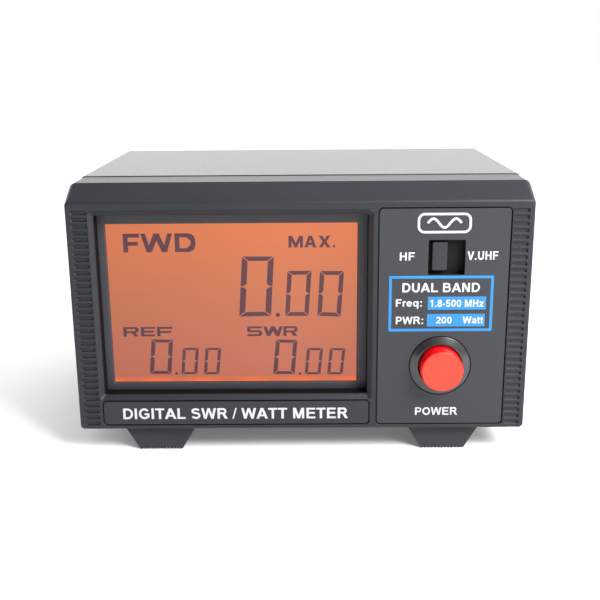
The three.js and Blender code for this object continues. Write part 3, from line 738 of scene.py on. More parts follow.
def moved(mesh: Mesh, x: float = 0, y: float = 0, z: float = 0, turn: Matrix | None = None) -> Mesh:
    """Turns a mesh about the origin, then moves it.

    Args:
        mesh: The mesh, which is changed.
        x: Move to the right.
        y: Move back.
        z: Move up.
        turn: The turn, if any.

    Returns:
        The same mesh.
    """
    mesh.transform(Matrix.Translation((x, y, z)) @ (turn or Matrix.Identity(4)))
    return mesh


def gathered(meshes: Sequence[Mesh]) -> Mesh:
    """Returns one mesh that holds separate ones side by side."""
    shape = bmesh.new()
    for mesh in meshes:
        shape.from_mesh(mesh)
    mesh = bpy.data.meshes.new("shape")
    shape.to_mesh(mesh)
    shape.free()
    return mesh


def evaluated(holder: bpy.types.Object) -> Mesh:
    """Returns the mesh that an object's modifiers give, and removes the object."""
    graph = bpy.context.evaluated_depsgraph_get()
    mesh = bpy.data.meshes.new_from_object(holder.evaluated_get(graph), depsgraph=graph)
    bpy.data.objects.remove(holder)
    return mesh


def held(data: bpy.types.ID, name: str = "work") -> bpy.types.Object:
    """Returns a linked object that holds a mesh, curve, light or camera."""
    holder = bpy.data.objects.new(name, data)
    bpy.context.scene.collection.objects.link(holder)
    return holder


def combined(base: Mesh, tools: Sequence[Mesh], operation: str) -> Mesh:
    """Cuts tools from a mesh or joins them to it.

    Args:
        base: The closed mesh to work on.
        tools: Closed meshes.
        operation: DIFFERENCE or UNION.

    Returns:
        The closed result.
    """
    holder = held(base)
    helpers = [held(tool, "tool") for tool in tools]
    for helper in helpers:
        step = holder.modifiers.new("cut", "BOOLEAN")
        step.operation, step.solver, step.object = operation, "MANIFOLD", helper
    result = evaluated(holder)
    for helper in helpers:
        bpy.data.objects.remove(helper)
    shape = bmesh.new()
    shape.from_mesh(result)
    bmesh.ops.remove_doubles(shape, verts=shape.verts, dist=MERGE)
    bmesh.ops.dissolve_degenerate(shape, dist=MERGE, edges=shape.edges)
    shape.to_mesh(result)
    shape.free()
    return result


def cut(base: Mesh, *tools: Mesh) -> Mesh:
    """Returns a mesh with tools cut from it."""
    return combined(base, tools, "DIFFERENCE")


def joined(base: Mesh, *others: Mesh) -> Mesh:
    """Returns overlapping meshes as one closed mesh."""
    return combined(base, others, "UNION")


def eased(mesh: Mesh, width: float, segments: int = 2, angle: float = 40) -> Mesh:
    """Returns a mesh with its sharp edges bevelled by a width in millimetres."""
    holder = held(mesh)
    bevel = holder.modifiers.new("ease", "BEVEL")
    bevel.width, bevel.segments, bevel.angle_limit = width, segments, math.radians(angle)
    bevel.limit_method, bevel.use_clamp_overlap, bevel.miter_outer = "ANGLE", True, "MITER_ARC"
    return evaluated(holder)


def flat_shape(outlines: Sequence[Outline], y0: float, y1: float) -> Mesh:
    """A thin plate over outlines on the face, with holes where one lies in another.

    Args:
        outlines: Closed outlines of x and z.
        y0: Front of the plate.
        y1: Back of the plate.

    Returns:
        The closed mesh.
    """
    curve = bpy.data.curves.new("outline", "CURVE")
    curve.dimensions, curve.fill_mode, curve.extrude = "2D", "BOTH", (y1 - y0) / 2
    for outline in outlines:
        spline = curve.splines.new("POLY")
        spline.points.add(len(outline) - 1)
        for point, (x, z) in zip(spline.points, outline):
            point.co = (x, z, 0, 1)
        spline.use_cyclic_u = True
    return plated(curve, y0, y1)


def plated(curve: bpy.types.Curve, y0: float, y1: float) -> Mesh:
    """Turns a filled curve or text into a closed mesh that stands on the face.

    Args:
        curve: The curve, drawn in x and y.
        y0: Front of the mesh.
        y1: Back of the mesh.

    Returns:
        The closed mesh.
    """
    mesh = evaluated(held(curve, "outline"))
    bpy.data.curves.remove(curve)
    mesh.transform(RISING)
    shape = bmesh.new()
    shape.from_mesh(mesh)
    depths = [v.co.y for v in shape.verts]
    low, high = min(depths), max(depths)
    for vert in shape.verts:
        vert.co.y = y0 + (vert.co.y - low) / (high - low) * (y1 - y0)
    return as_mesh(shape)


# Letters.
CAP, LOWER = 0.716, 0.519  # heights of capitals and small letters, in ems
STEM, BAR, CURVE = 0.148, 0.122, 0.136  # weights of upright, level and curved strokes
BAR_TOP, BAR_LOW = CAP - BAR / 2, BAR / 2
STEM_LEFT, STEM_RIGHT = 0.147, 0.575
SMALL_STEM = 0.137

Part = tuple[Outline, ...]  # an outline, and the outline of its hole if it has one


def arc(cx: float, cz: float, rx: float, rz: float, start: float, end: float, steps: int = 12) -> Outline:
    """Returns points along part of an ellipse, from one angle in degrees to another."""
    angles = [math.radians(start + (end - start) * k / steps) for k in range(steps + 1)]
    return [(cx + rx * math.cos(a), cz + rz * math.sin(a)) for a in angles]


def stroke(points: Sequence[Point], weight: float) -> Part:
    """Thickens an open line, with mitred corners and square ends.

    Args:
        points: The line's middle.
        weight: Its width.

    Returns:
        The stroke's outline.
    """
    left, right = [], []
    for i, place in enumerate(points):
        spot = Vector(place)
        before = (spot - Vector(points[i - 1])).normalized() if i else None
        after = (Vector(points[i + 1]) - spot).normalized() if i + 1 < len(points) else None
        first, second = before or after, after or before
        normal = Vector((-(first.y + second.y), first.x + second.x)).normalized()
        reach = normal * weight / 2 / max(0.5, normal.dot(Vector((-first.y, first.x))))
        left.append(tuple(spot + reach))
        right.append(tuple(spot - reach))
    return (right + left[::-1],)


def upright(x: float, height: float = CAP, weight: float = STEM, foot: float = 0.0) -> Part:
    """Returns an upright stroke."""
    return stroke([(x, foot), (x, height)], weight)


def level(z: float, start: float, end: float, weight: float = BAR) -> Part:
    """Returns a level stroke."""
    return stroke([(start, z), (end, z)], weight)


def slant(low: Point, high: Point, weight: float) -> Part:
    """Returns a sloping stroke whose ends are cut level."""
    half, (x0, z0), (x1, z1) = weight / 2, low, high
    return ([(x0 - half, z0), (x0 + half, z0), (x1 + half, z1), (x1 - half, z1)],)


def ring(cx: float, cz: float, rx: float, rz: float, weight: float = CURVE) -> Part:
    """Returns a closed round stroke."""
    half = weight / 2
    return tuple(arc(cx, cz, rx + by, rz + by, 0, 345, 23) for by in (half, -half))


def bowl(start: float, turn: float, high: float, low: float, reach: float, weight: float = 0.128) -> Part:
    """Returns a bowl that leaves a stem and comes back to it."""
    middle, rise = (high + low) / 2, (high - low) / 2
    line = [(start, high), *arc(turn, middle, reach, rise, 90, -90), (start, low)]
    return stroke(line, weight)


STEM_PART = upright(STEM_LEFT)
R_BOWL = bowl(STEM_LEFT, 0.42, BAR_TOP, 0.372, 0.152)
S_LINE = [*arc(0.333, 0.522, 0.205, 0.133, 22, 270), *arc(0.333, 0.224, 0.215, 0.165, 90, -162)[1:]]
C_LINE = arc(0.385, 0.358, 0.272, 0.298, 40, 320, 20)
U_LINE = [(STEM_LEFT, CAP), *arc(0.361, 0.275, 0.214, 0.214, 180, 360), (STEM_RIGHT, CAP)]
# Each letter's advance in ems, and its strokes.
LETTERS: dict[str, tuple[float, tuple[Part, ...]]] = {
    " ": (0.278, ()),
    "A": (0.722, (slant((0.084, 0), (0.361, CAP), 0.166), slant((0.638, 0), (0.361, CAP), 0.166),
                  level(0.215, 0.2, 0.52, 0.115))),
    "B": (0.722, (STEM_PART, bowl(STEM_LEFT, 0.41, BAR_TOP, 0.388, 0.14),
                  bowl(STEM_LEFT, 0.43, 0.388, BAR_LOW, 0.165))),
    "C": (0.722, (stroke(C_LINE, CURVE),)),
    "D": (0.722, (STEM_PART, bowl(STEM_LEFT, 0.34, BAR_TOP, BAR_LOW, 0.275, 0.132))),
    "E": (0.667, (STEM_PART, level(BAR_TOP, 0.15, 0.615), level(0.372, 0.15, 0.58),
                  level(BAR_LOW, 0.15, 0.625))),
    "F": (0.611, (STEM_PART, level(BAR_TOP, 0.15, 0.575), level(0.36, 0.15, 0.52))),
    "G": (0.778, (stroke([*arc(0.395, 0.358, 0.275, 0.298, 38, 312, 20), (0.64, 0.2)], CURVE),
                  upright(0.638, 0.385, 0.14, 0.1), level(0.325, 0.4, 0.7, 0.12))),
    "H": (0.722, (STEM_PART, upright(STEM_RIGHT), level(0.37, 0.15, 0.57))),
    "I": (0.278, (upright(0.139),)),
    "L": (0.611, (STEM_PART, level(BAR_LOW, 0.15, 0.575))),
    "M": (0.833, (upright(0.14, weight=0.135), upright(0.693, weight=0.135),
                  slant((0.4165, 0), (0.17, CAP), 0.15), slant((0.4165, 0), (0.663, CAP), 0.15))),
    "N": (0.722, (upright(0.145, weight=0.14), upright(0.577, weight=0.14),
                  slant((0.56, 0), (0.162, CAP), 0.165))),
    "O": (0.778, (ring(0.389, 0.358, 0.275, 0.299, 0.142),)),
    "P": (0.667, (STEM_PART, bowl(STEM_LEFT, 0.39, BAR_TOP, 0.325, 0.17))),
    "R": (0.722, (STEM_PART, R_BOWL, slant((0.625, 0), (0.43, 0.36), 0.175))),
    "S": (0.667, (stroke(S_LINE, 0.134),)),
    "T": (0.611, (level(BAR_TOP, 0.022, 0.589), upright(0.3055))),
    "U": (0.722, (stroke(U_LINE, STEM),)),
    "V": (0.667, (slant((0.333, 0), (0.086, CAP), 0.163), slant((0.333, 0), (0.58, CAP), 0.163))),
    "W": (0.944, (slant((0.25, 0), (0.083, CAP), 0.148), slant((0.25, 0), (0.472, CAP), 0.142),
                  slant((0.694, 0), (0.472, CAP), 0.142), slant((0.694, 0), (0.861, CAP), 0.148))),
    "a": (0.556, (stroke([*arc(0.27, 0.372, 0.168, 0.092, 160, 0), (0.438, 0.0)], 0.118),
                  ring(0.235, 0.15, 0.135, 0.1, 0.1))),
    "e": (0.556, (stroke(arc(0.28, 0.26, 0.195, 0.205, 0, 322, 18), 0.122), level(0.255, 0.08, 0.53, 0.09))),
    "q": (0.611, (ring(0.285, 0.26, 0.172, 0.205, 0.122), upright(0.475, LOWER, SMALL_STEM, -0.2))),
    "r": (0.389, (upright(0.135, LOWER, SMALL_STEM), stroke(arc(0.315, 0.32, 0.18, 0.14, 180, 78), 0.118))),
    "t": (0.333, (upright(0.168, 0.66, SMALL_STEM, 0.06), level(0.462, 0.02, 0.31, 0.108),
                  level(0.05, 0.13, 0.305, 0.1))),
    "z": (0.5, (level(0.462, 0.035, 0.465, 0.112), level(0.056, 0.025, 0.475, 0.112),
                slant((0.115, 0.06), (0.375, 0.45), 0.165))),
    "0": (0.556, (ring(0.278, 0.358, 0.175, 0.299),)),
    "1": (0.556, (upright(0.335, weight=0.142), stroke([(0.345, 0.665), (0.1, 0.53)], 0.115))),
    "2": (0.556, (stroke([*arc(0.275, 0.5, 0.168, 0.155, 168, -32), (0.11, 0.075)], 0.132),
                  level(BAR_LOW, 0.035, 0.51))),
    "5": (0.556, (level(BAR_TOP, 0.12, 0.49), slant((0.125, 0.33), (0.17, CAP), 0.125),
                  stroke(arc(0.27, 0.235, 0.175, 0.173, 140, -158), 0.13))),
    "8": (0.556, (ring(0.278, 0.53, 0.15, 0.127, 0.122), ring(0.278, 0.208, 0.172, 0.15, 0.126))),
    ":": (0.333, (upright(0.166, 0.14, 0.14), upright(0.166, LOWER, 0.14, LOWER - 0.14))),
    ".": (0.278, (upright(0.139, 0.14, 0.14),)),
    "-": (0.333, (level(0.26, 0.04, 0.29, 0.13),)),
    "/": (0.278, (slant((0.035, -0.012), (0.243, 0.728), 0.085),)),
}


def lettering(text: str, pane: Pane, y0: float, y1: float) -> Mesh:
    """Bold plain letters that fill a pane.

    Args:
        text: What they say.
        pane: The box that their ink fills.
        y0: Front of the ink.
        y1: Back of the ink.

    Returns:
        A closed mesh for each letter, side by side in one.
    """
    made, along = [], 0.0
    for letter in text:
        advance, parts = LETTERS[letter]
        plates = [[straight([(x + along, z) for x, z in line], y0, y1) for line in part] for part in parts]
        solids = [cut(outside, *holes) if holes else outside for outside, *holes in plates]
        if solids:
            made.append(joined(solids[0], *solids[1:]) if len(solids) > 1 else solids[0])
        along += advance
    mesh = gathered(made)
    xs, zs = [v.co.x for v in mesh.vertices], [v.co.z for v in mesh.vertices]
    wide = (pane.x1 - pane.x0) / (max(xs) - min(xs))
    tall = (pane.z1 - pane.z0) / (max(zs) - min(zs))
    scale = Matrix.Diagonal((wide, 1, tall, 1))
    return moved(mesh, pane.x0 - min(xs) * wide, 0, pane.z0 - min(zs) * tall, scale)


# Geometry trees.
class GeometryTree:
    """A geometry node tree with named inputs, run on a mesh to give a plain mesh."""

    def __init__(self, name: str, inputs: dict[str, str]) -> None:
        """Makes the tree's sockets.

        Args:
            name: The tree's name.
            inputs: Name and socket type of each input after the geometry.
        """
        self.tree = bpy.data.node_groups.new(name, "GeometryNodeTree")
        face = self.tree.interface
        face.new_socket(name="Geometry", in_out="INPUT", socket_type="NodeSocketGeometry")
        face.new_socket(name="Geometry", in_out="OUTPUT", socket_type="NodeSocketGeometry")
        self.keys = {
            label: face.new_socket(name=label, in_out="INPUT", socket_type=kind).identifier
            for label, kind in inputs.items()
        }
        self.inputs = self.tree.nodes.new("NodeGroupInput").outputs

    def close(self, geometry: Socket) -> None:
        """Ends the tree: instances are made real and the finish is set.

        Args:
            geometry: What the tree has made.
        """
        real = add(self.tree, "GeometryNodeRealizeInstances", {"Geometry": geometry})
        sockets = {"Geometry": real.outputs["Geometry"], "Material": self.inputs["Finish"]}
        dressed = add(self.tree, "GeometryNodeSetMaterial", sockets)
        add(self.tree, "NodeGroupOutput", {0: dressed.outputs["Geometry"]})

    def run(self, mesh: Mesh, **values: Any) -> Mesh:
        """Runs the tree on a mesh.

        Args:
            mesh: The mesh that goes in.
            values: Input name to value, with _ for a space.

        Returns:
            A plain mesh with nothing live on it.
        """
        holder = held(mesh)
        modifier = holder.modifiers.new("tree", "NODES")
        modifier.node_group = self.tree
        for label, value in values.items():
            modifier[self.keys[label.replace("_", " ")]] = value
        return evaluated(holder)


class RowTree(GeometryTree):
    """Repeats a mesh along a straight row."""

    def __init__(self) -> None:
        """Builds the tree."""
        kinds = {"Count": "NodeSocketInt", "Start": "NodeSocketVector", "Step": "NodeSocketVector"}
        super().__init__("row", {**kinds, "Finish": "NodeSocketMaterial"})
        names = {"Count": "Count", "Start Location": "Start", "Offset": "Step"}
        sockets = {theirs: self.inputs[ours] for theirs, ours in names.items()}
        line = add(self.tree, "GeometryNodeMeshLine", sockets, mode="OFFSET")
        sockets = {"Points": line.outputs["Mesh"], "Instance": self.inputs["Geometry"]}
        self.close(add(self.tree, "GeometryNodeInstanceOnPoints", sockets).outputs["Instances"])


class PlaceTree(GeometryTree):
    """Sets a part at each point of a mesh."""

    def __init__(self) -> None:
        """Builds the tree."""
        super().__init__("place", {"Part": "NodeSocketObject", "Finish": "NodeSocketMaterial"})
        part = add(self.tree, "GeometryNodeObjectInfo", {"Object": self.inputs["Part"]})
        sockets = {"Points": self.inputs["Geometry"], "Instance": part.outputs["Geometry"]}
        self.close(add(self.tree, "GeometryNodeInstanceOnPoints", sockets).outputs["Instances"])

    def place(self, part: Mesh, points: Sequence[Sequence[float]], finish: Finish) -> Mesh:
        """Sets a part at each of some points.

        Args:
            part: Mesh of the part about its own origin.
            points: Where it goes.
            finish: What it is made of.

        Returns:
            The mesh of all of them.
        """
        cloud = bpy.data.meshes.new("points")
        cloud.from_pydata([tuple(point) for point in points], [], [])
        helper = held(part, "part")
        made = self.run(cloud, Part=helper, Finish=finish.build())
        bpy.data.objects.remove(helper)
        return made


class ThreadTree(GeometryTree):
    """A round wire wound along the y axis: a screw thread or a spring."""

    def __init__(self) -> None:
        """Builds the tree."""
        sizes = ("Radius", "Wire", "Turns", "Length")
        kinds = {size: "NodeSocketFloat" for size in sizes}
        kinds |= {"Steps": "NodeSocketInt", "Sides": "NodeSocketInt", "Finish": "NodeSocketMaterial"}
        super().__init__("thread", kinds)
        names = {"Resolution": "Steps", "Rotations": "Turns", "Start Radius": "Radius",
                 "End Radius": "Radius", "Height": "Length"}
        sockets = {theirs: self.inputs[ours] for theirs, ours in names.items()}
        line = add(self.tree, "GeometryNodeCurveSpiral", sockets)
        sockets = {"Resolution": self.inputs["Sides"], "Radius": self.inputs["Wire"]}
        section = add(self.tree, "GeometryNodeCurvePrimitiveCircle", sockets)
        sockets = {"Curve": line.outputs["Curve"], "Profile Curve": section.outputs["Curve"]}
        wire = add(self.tree, "GeometryNodeCurveToMesh", {**sockets, "Fill Caps": True})
        sockets = {"Geometry": wire.outputs["Mesh"], "Rotation": (-math.pi / 2, 0, 0)}
        self.close(add(self.tree, "GeometryNodeTransform", sockets).outputs["Geometry"])

    def wind(
        self, radius: float, wire: float, turns: float, length: float, finish: Finish, steps: int, sides: int
    ) -> Mesh:
        """Winds a wire from y = 0.

        Args:
            radius: Radius of the wire's centre line.
            wire: Radius of the wire.
            turns: How many turns.
            length: How far along y.
            finish: What it is made of.
            steps: Steps in a turn.
            sides: Sides of the wire.

        Returns:
            The closed mesh.
        """
        empty = bpy.data.meshes.new("empty")
        values = {"Radius": radius, "Wire": wire, "Turns": turns, "Length": length}
        made = self.run(empty, **values, Steps=steps, Sides=sides, Finish=finish.build())
        shape = bmesh.new()
        shape.from_mesh(made)
        return as_mesh(shape)


# Workshop.
class Workshop:
    """Holds the datum and the trees, and sets finished pieces in the scene."""

    def __init__(self, frame: dict) -> None:
        """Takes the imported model.
        """
        self.nodes = frame["nodes"]
        self.datum = Datum.from_bezel()
        self.rows = RowTree()
        self.places = PlaceTree()
        self.threads = ThreadTree()

    def piece(
        self,
        name: str,
        mesh: Mesh,
        finishes: Finish | Sequence[Finish],
        replaces: Sequence[str] = (),
        slot: str | None = None,
        body: Body = Body.CASE,
    ) -> bpy.types.Object:
        """Sets a finished mesh in the scene.

        Args:
            name: The piece's name.
            mesh: Its mesh in face millimetres.
            finishes: One finish, or one for each material number in the mesh.
            replaces: CAD nodes that it stands for.
            slot: The record's material slot; not used.
            body: The body that it rides on.

        Returns:
            The piece.
        """
        mesh.transform(self.datum.matrix())
        numbers = [0] * len(mesh.polygons)
        mesh.polygons.foreach_get("material_index", numbers)
        mesh.materials.clear()
        for finish in [finishes] if isinstance(finishes, Finish) else finishes:
            mesh.materials.append(finish.build())
        if len(mesh.materials) > 1:
            mesh.polygons.foreach_set("material_index", numbers)
        mesh.shade_smooth()
        mesh.set_sharp_from_angle(angle=SHARP)
        holder = held(mesh)
        normals = holder.modifiers.new("normals", "WEIGHTED_NORMAL")
        normals.weight, normals.keep_sharp = 100, True
        made = held(evaluated(holder), name)
        made.data.name = name
        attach(made, body.value)
        if replaces:
            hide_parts(*replaces)
        log.info("%s: %d faces on %s", name, len(made.data.polygons), body.value)
        return made

    def dress(self, finish: Finish, *nodes: str) -> None:
        """Gives CAD nodes a finish.

        Args:
            finish: What they are made of.
            nodes: Their names.
        """
        for node in nodes:
            slots = self.nodes[node].data.materials
            slots.clear()
            slots.append(finish.build())
            log.info("%s: finished as %s", node, finish.name)


# Front bezel.
@dataclass(frozen=True)
class RibColumn:
    """A column of short level slots in the face's margin."""

    centre: float = 73.4
    top: float = 77.2
    pitch: float = 2.27
    count: int = 34
    length: float = 5.2
    height: float = 1.2
    depth: float = 0.65
    lip: float = 0.2

    def cutter(self, rows: RowTree, side: int) -> Mesh:
        """Returns the tool that cuts one column.

        Args:
            rows: The row tree.
            side: -1 for the left, 1 for the right.

        Returns:
            Closed tools in a row.
        """
        half, up = self.length / 2, self.height / 2
        slot = Pane(-half, half, -up, up)
        inner = self.lip
        stations = [
            (-0.4, slot.grown(inner).outline(up + inner, 8)),
            (0.0, slot.grown(inner).outline(up + inner, 8)),
            (self.lip * 0.5, slot.grown(inner * 0.3).outline(up, 8)),
            (self.depth * 0.8, slot.outline(up, 8)),
            (self.depth, slot.grown(-0.15).outline(up - 0.15, 8)),
        ]
        start, step = Vector((side * self.centre, 0, self.top)), Vector((0, 0, -self.pitch))
        return rows.run(loft(stations), Count=self.count, Start=start, Step=step)


@dataclass(frozen=True)
class FrontBezel:
    """The moulded front, with its display opening, pockets and ribbed margins."""

    half_width: float = 77.9
    face_height: float = 80.5
    band_depth: float = 8.6
    band_rise: float = 5.5
    depth: float = 23.6
    edge: float = 0.75
    face_corner: float = 1.4
    corner: float = 2.3
    wall: float = 2.4
    front_wall: float = 3.0
    opening: Pane = Pane(-68.7, 22.95, 12.7, 75.95)
    rim_width: float = 1.4
    rim_depth: float = 1.2
    bead_width: float = 0.42
    bead_rise: float = 0.24
    tunnel_wall: float = 1.6
    tunnel_end: float = 6.0
    fascia_pocket: Pane = Pane(26.1, 70.4, 1.45, 78.3)
    label_pocket: Pane = Pane(-69.6, 23.9, 1.45, 10.75)
    pocket_depth: float = 1.2
    pocket_corner: float = 1.5
    window: Pane = Pane(42.95, 55.3, 55.3, 67.35)
    collar_hole: float = 9.0
    post_x: float = 71.0
    post_z: Point = (5.5, 81.4)
    post_radius: float = 2.3
    post_start: float = 7.0
    post_end: float = 17.3
    screw_hole: float = 1.3
    lip_pane: Pane = Pane(-76.2, 76.2, 0.0, 84.9)
    lip_corner: float = 1.4
    lip_wall: float = 1.6
    lip_reach: float = 2.9
    lip_bottom: float = 6.0
    ribs: RibColumn = RibColumn()

    def outline(self, y: float, inset: float = 0.0) -> Outline:
        """Returns the bezel's outer outline at a depth.

        Args:
            y: Depth behind the face.
            inset: How far inside the outer surface.

        Returns:
            The outline.
        """
        share = min(max(y, 0.0) / self.band_depth, 1.0)
        top = self.face_height + self.band_rise * share
        corner = self.face_corner + (self.corner - self.face_corner) * share
        pane = Pane(-self.half_width, self.half_width, 0.0, top).grown(-inset)
        return pane.outline(max(corner - inset * 0.5, 0.3), 8)

    def outer(self) -> Mesh:
        """Returns the outer block with its rounded front and back edges."""
        edge = self.edge
        angles = [math.radians(90 * k / 6) for k in range(7)]
        front = [(edge * (1 - math.cos(a)), edge * (1 - math.sin(a))) for a in angles]
        stations = [(y, self.outline(y, inset)) for y, inset in front]
        crease = [self.band_depth + k for k in (-0.5, -0.2, 0.0, 0.3)]
        stations += [(y, self.outline(y)) for y in [2.5, 5.0, *crease, 14.0, 20.0, self.depth - 0.4]]
        ending = ((0.12, 0.12), (0.0, 0.4))
        stations += [(self.depth - back, self.outline(self.depth, inset)) for back, inset in ending]
        return loft(stations)

    def hollow(self) -> Mesh:
        """Returns the space inside, open at the back."""
        half, low = self.half_width - self.wall, self.wall
        roof = self.face_height + self.band_rise - self.wall
        shelf = self.face_height - 1.5
        depths = ((self.front_wall, shelf), (self.band_depth + 1.6, roof), (self.depth + 1, roof))
        return loft([(y, Pane(-half, half, low, top).outline(1.0)) for y, top in depths])

    def lip(self) -> Mesh:
        """Returns the lip at the back that the cover slides over."""
        start, end = self.depth - self.lip_wall, self.depth + self.lip_reach
        near, far, wide = self.depth - 3, self.depth + 4, 80
        inside = self.lip_pane.grown(-self.lip_wall)
        outside = soft_prism(self.lip_pane.outline(self.lip_corner), start, end, 0.3)
        around = cut(outside, straight(inside.outline(0.6), near, far))
        return cut(around, brick(-wide, wide, near, far, -2, self.lip_bottom))

    def rim(self) -> Mesh:
        """Returns the tool that cuts the opening and the bevel round it."""
        slope = self.rim_width / self.rim_depth
        steps = [(-0.5, self.rim_width + 0.5 * slope), (0.0, self.rim_width), (self.rim_depth - 0.15, 0.18),
                 (self.rim_depth, 0.06), (self.rim_depth + 0.3, 0.0), (self.tunnel_end + 1, 0.0)]
        return loft([(y, self.opening.grown(by).outline(0.5 + by * 0.5, 5)) for y, by in steps])

    def bead(self) -> Mesh:
        """Returns the fine raised line round the opening's bevel."""
        inner = self.opening.grown(self.rim_width - 0.02)
        body = soft_prism(inner.grown(self.bead_width).outline(1.4), -self.bead_rise, 0.4, 0.16)
        return cut(body, straight(inner.outline(1.2), -1, 1))

    def pocket(self, pane: Pane) -> Mesh:
        """Returns the tool that cuts a pocket for a panel."""
        steps = [(-0.5, 0.16), (0.0, 0.16), (0.12, 0.03), (0.3, 0.0), (self.pocket_depth, 0.0)]
        return loft([(y, pane.grown(by).outline(self.pocket_corner + by)) for y, by in steps])

    def build(self, shop: Workshop) -> None:
        """Makes the bezel.

        Args:
            shop: The workshop.
        """
        tunnel = self.opening.grown(self.tunnel_wall)
        spots = [(side * self.post_x, z) for side in (-1, 1) for z in self.post_z]
        start = self.post_start + 2
        shell = joined(
            cut(self.outer(), self.hollow()),
            soft_prism(tunnel.outline(1.0), self.front_wall - 1, self.tunnel_end, 0.3),
            self.lip(),
            self.bead(),
            *[moved(rod(self.post_radius, self.post_start, self.post_end, 24), x, 0, z) for x, z in spots],
        )
        centre = shop.datum.centre("button_collar")
        window = self.window.grown(0.2)
        feet = [shop.datum.centre(f"foot_front_{side}") for side in ("left", "right")]
        shell = cut(
            shell,
            self.rim(),
            self.pocket(self.fascia_pocket),
            self.pocket(self.label_pocket),
            straight(window.outline(0.4), -1, self.front_wall + 1),
            moved(rod(self.collar_hole, -1, 4.2), centre.x, 0, centre.z),
            *[moved(rod(self.screw_hole, start, self.post_end + 1, 20), x, 0, z) for x, z in spots],
            *[moved(rod(FOOT_HOLE, -1, 4, 20), foot.x, foot.y, 0, RISING) for foot in feet],
            *[self.ribs.cutter(shop.rows, side) for side in (-1, 1)],
        )
        # Faces on the opening's walls behind the bevel take material 1, the bezel plastic painted near black
        # as shade.
        walls = self.opening.grown(0.1)
        for face in shell.polygons:
            x, y, z = face.center
            inside = walls.x0 < x < walls.x1 and walls.z0 < z < walls.z1
            face.material_index = 1 if inside and self.rim_depth + 0.2 < y < self.tunnel_end + 0.1 else 0
        shop.piece("bezel_moulding", shell, (BEZEL_ABS, RECESS_PAINTED_SHADE), ["front_bezel"], "bezel_abs")


# Panels and their ink.
INK_FRONT, INK_BACK = -0.035, 0.02


@dataclass(frozen=True)
class RatingBlock:
    """The blue frame on the fascia, with its title and two rated values."""

    frame: Pane = Pane(30.0, 65.2, 35.6, 55.1)
    line: float = 0.95
    title: Pane = Pane(34.5, 60.6, 49.35, 52.6)
    range_name: Pane = Pane(32.4, 41.2, 43.65, 47.0)
    range_bar: Pane = Pane(43.2, 62.9, 43.25, 47.8)
    range_value: Pane = Pane(43.9, 62.1, 44.2, 46.75)
    power_name: Pane = Pane(32.5, 41.8, 38.2, 40.85)
    power_bar: Pane = Pane(43.1, 62.7, 37.3, 41.75)
    power_value: Pane = Pane(46.2, 51.5, 38.35, 40.75)
    power_unit: Pane = Pane(55.2, 62.1, 38.35, 40.8)

    def blue(self) -> Mesh:
        """Returns the blue ink."""
        ring = [self.frame.outline(0.3), self.frame.grown(-self.line).outline(0.1)]
        bars = [self.range_bar.outline(0.1), self.power_bar.outline(0.1)]
        return flat_shape([*ring, *bars], INK_FRONT, INK_BACK)

    def white(self) -> list[Mesh]:
        """Returns the white ink, which lies over the blue."""
        words = (
            ("DUAL BAND", self.title),
            ("Freq:", self.range_name),
            ("1.8-500 MHz", self.range_value),
            ("PWR:", self.power_name),
            ("200", self.power_value),
            ("Watt", self.power_unit),
        )
        return [lettering(text, pane, INK_FRONT - 0.02, INK_BACK) for text, pane in words]


@dataclass(frozen=True)
class WaveEmblem:
    """A plain emblem: a rounded frame round one and a half waves."""

    frame: Pane = Pane(39.1, 57.0, 69.6, 76.45)
    corner: float = 2.4
    line: float = 0.8
    swing: float = 1.5
    half_length: float = 5.6
    waves: float = 1.5
    steps: int = 48

    def mesh(self) -> Mesh:
        """Returns the emblem's ink."""
        middle = Vector(((self.frame.x0 + self.frame.x1) / 2, (self.frame.z0 + self.frame.z1) / 2))
        upper, lower = [], []
        for k in range(self.steps + 1):
            along = -self.half_length + 2 * self.half_length * k / self.steps
            phase = 2 * math.pi * self.waves * (k / self.steps)
            rise = self.swing * math.sin(phase)
            slope = self.swing * math.cos(phase) * math.pi * self.waves / self.half_length
            normal = Vector((-slope, 1)).normalized() * self.line / 2
            spot = middle + Vector((along, rise))
            upper.append(tuple(spot + normal))
            lower.append(tuple(spot - normal))
        inner = self.frame.grown(-self.line)
        ring = [self.frame.outline(self.corner, 10), inner.outline(self.corner - self.line, 10)]
        return flat_shape([*ring, upper + lower[::-1]], INK_FRONT, INK_BACK)


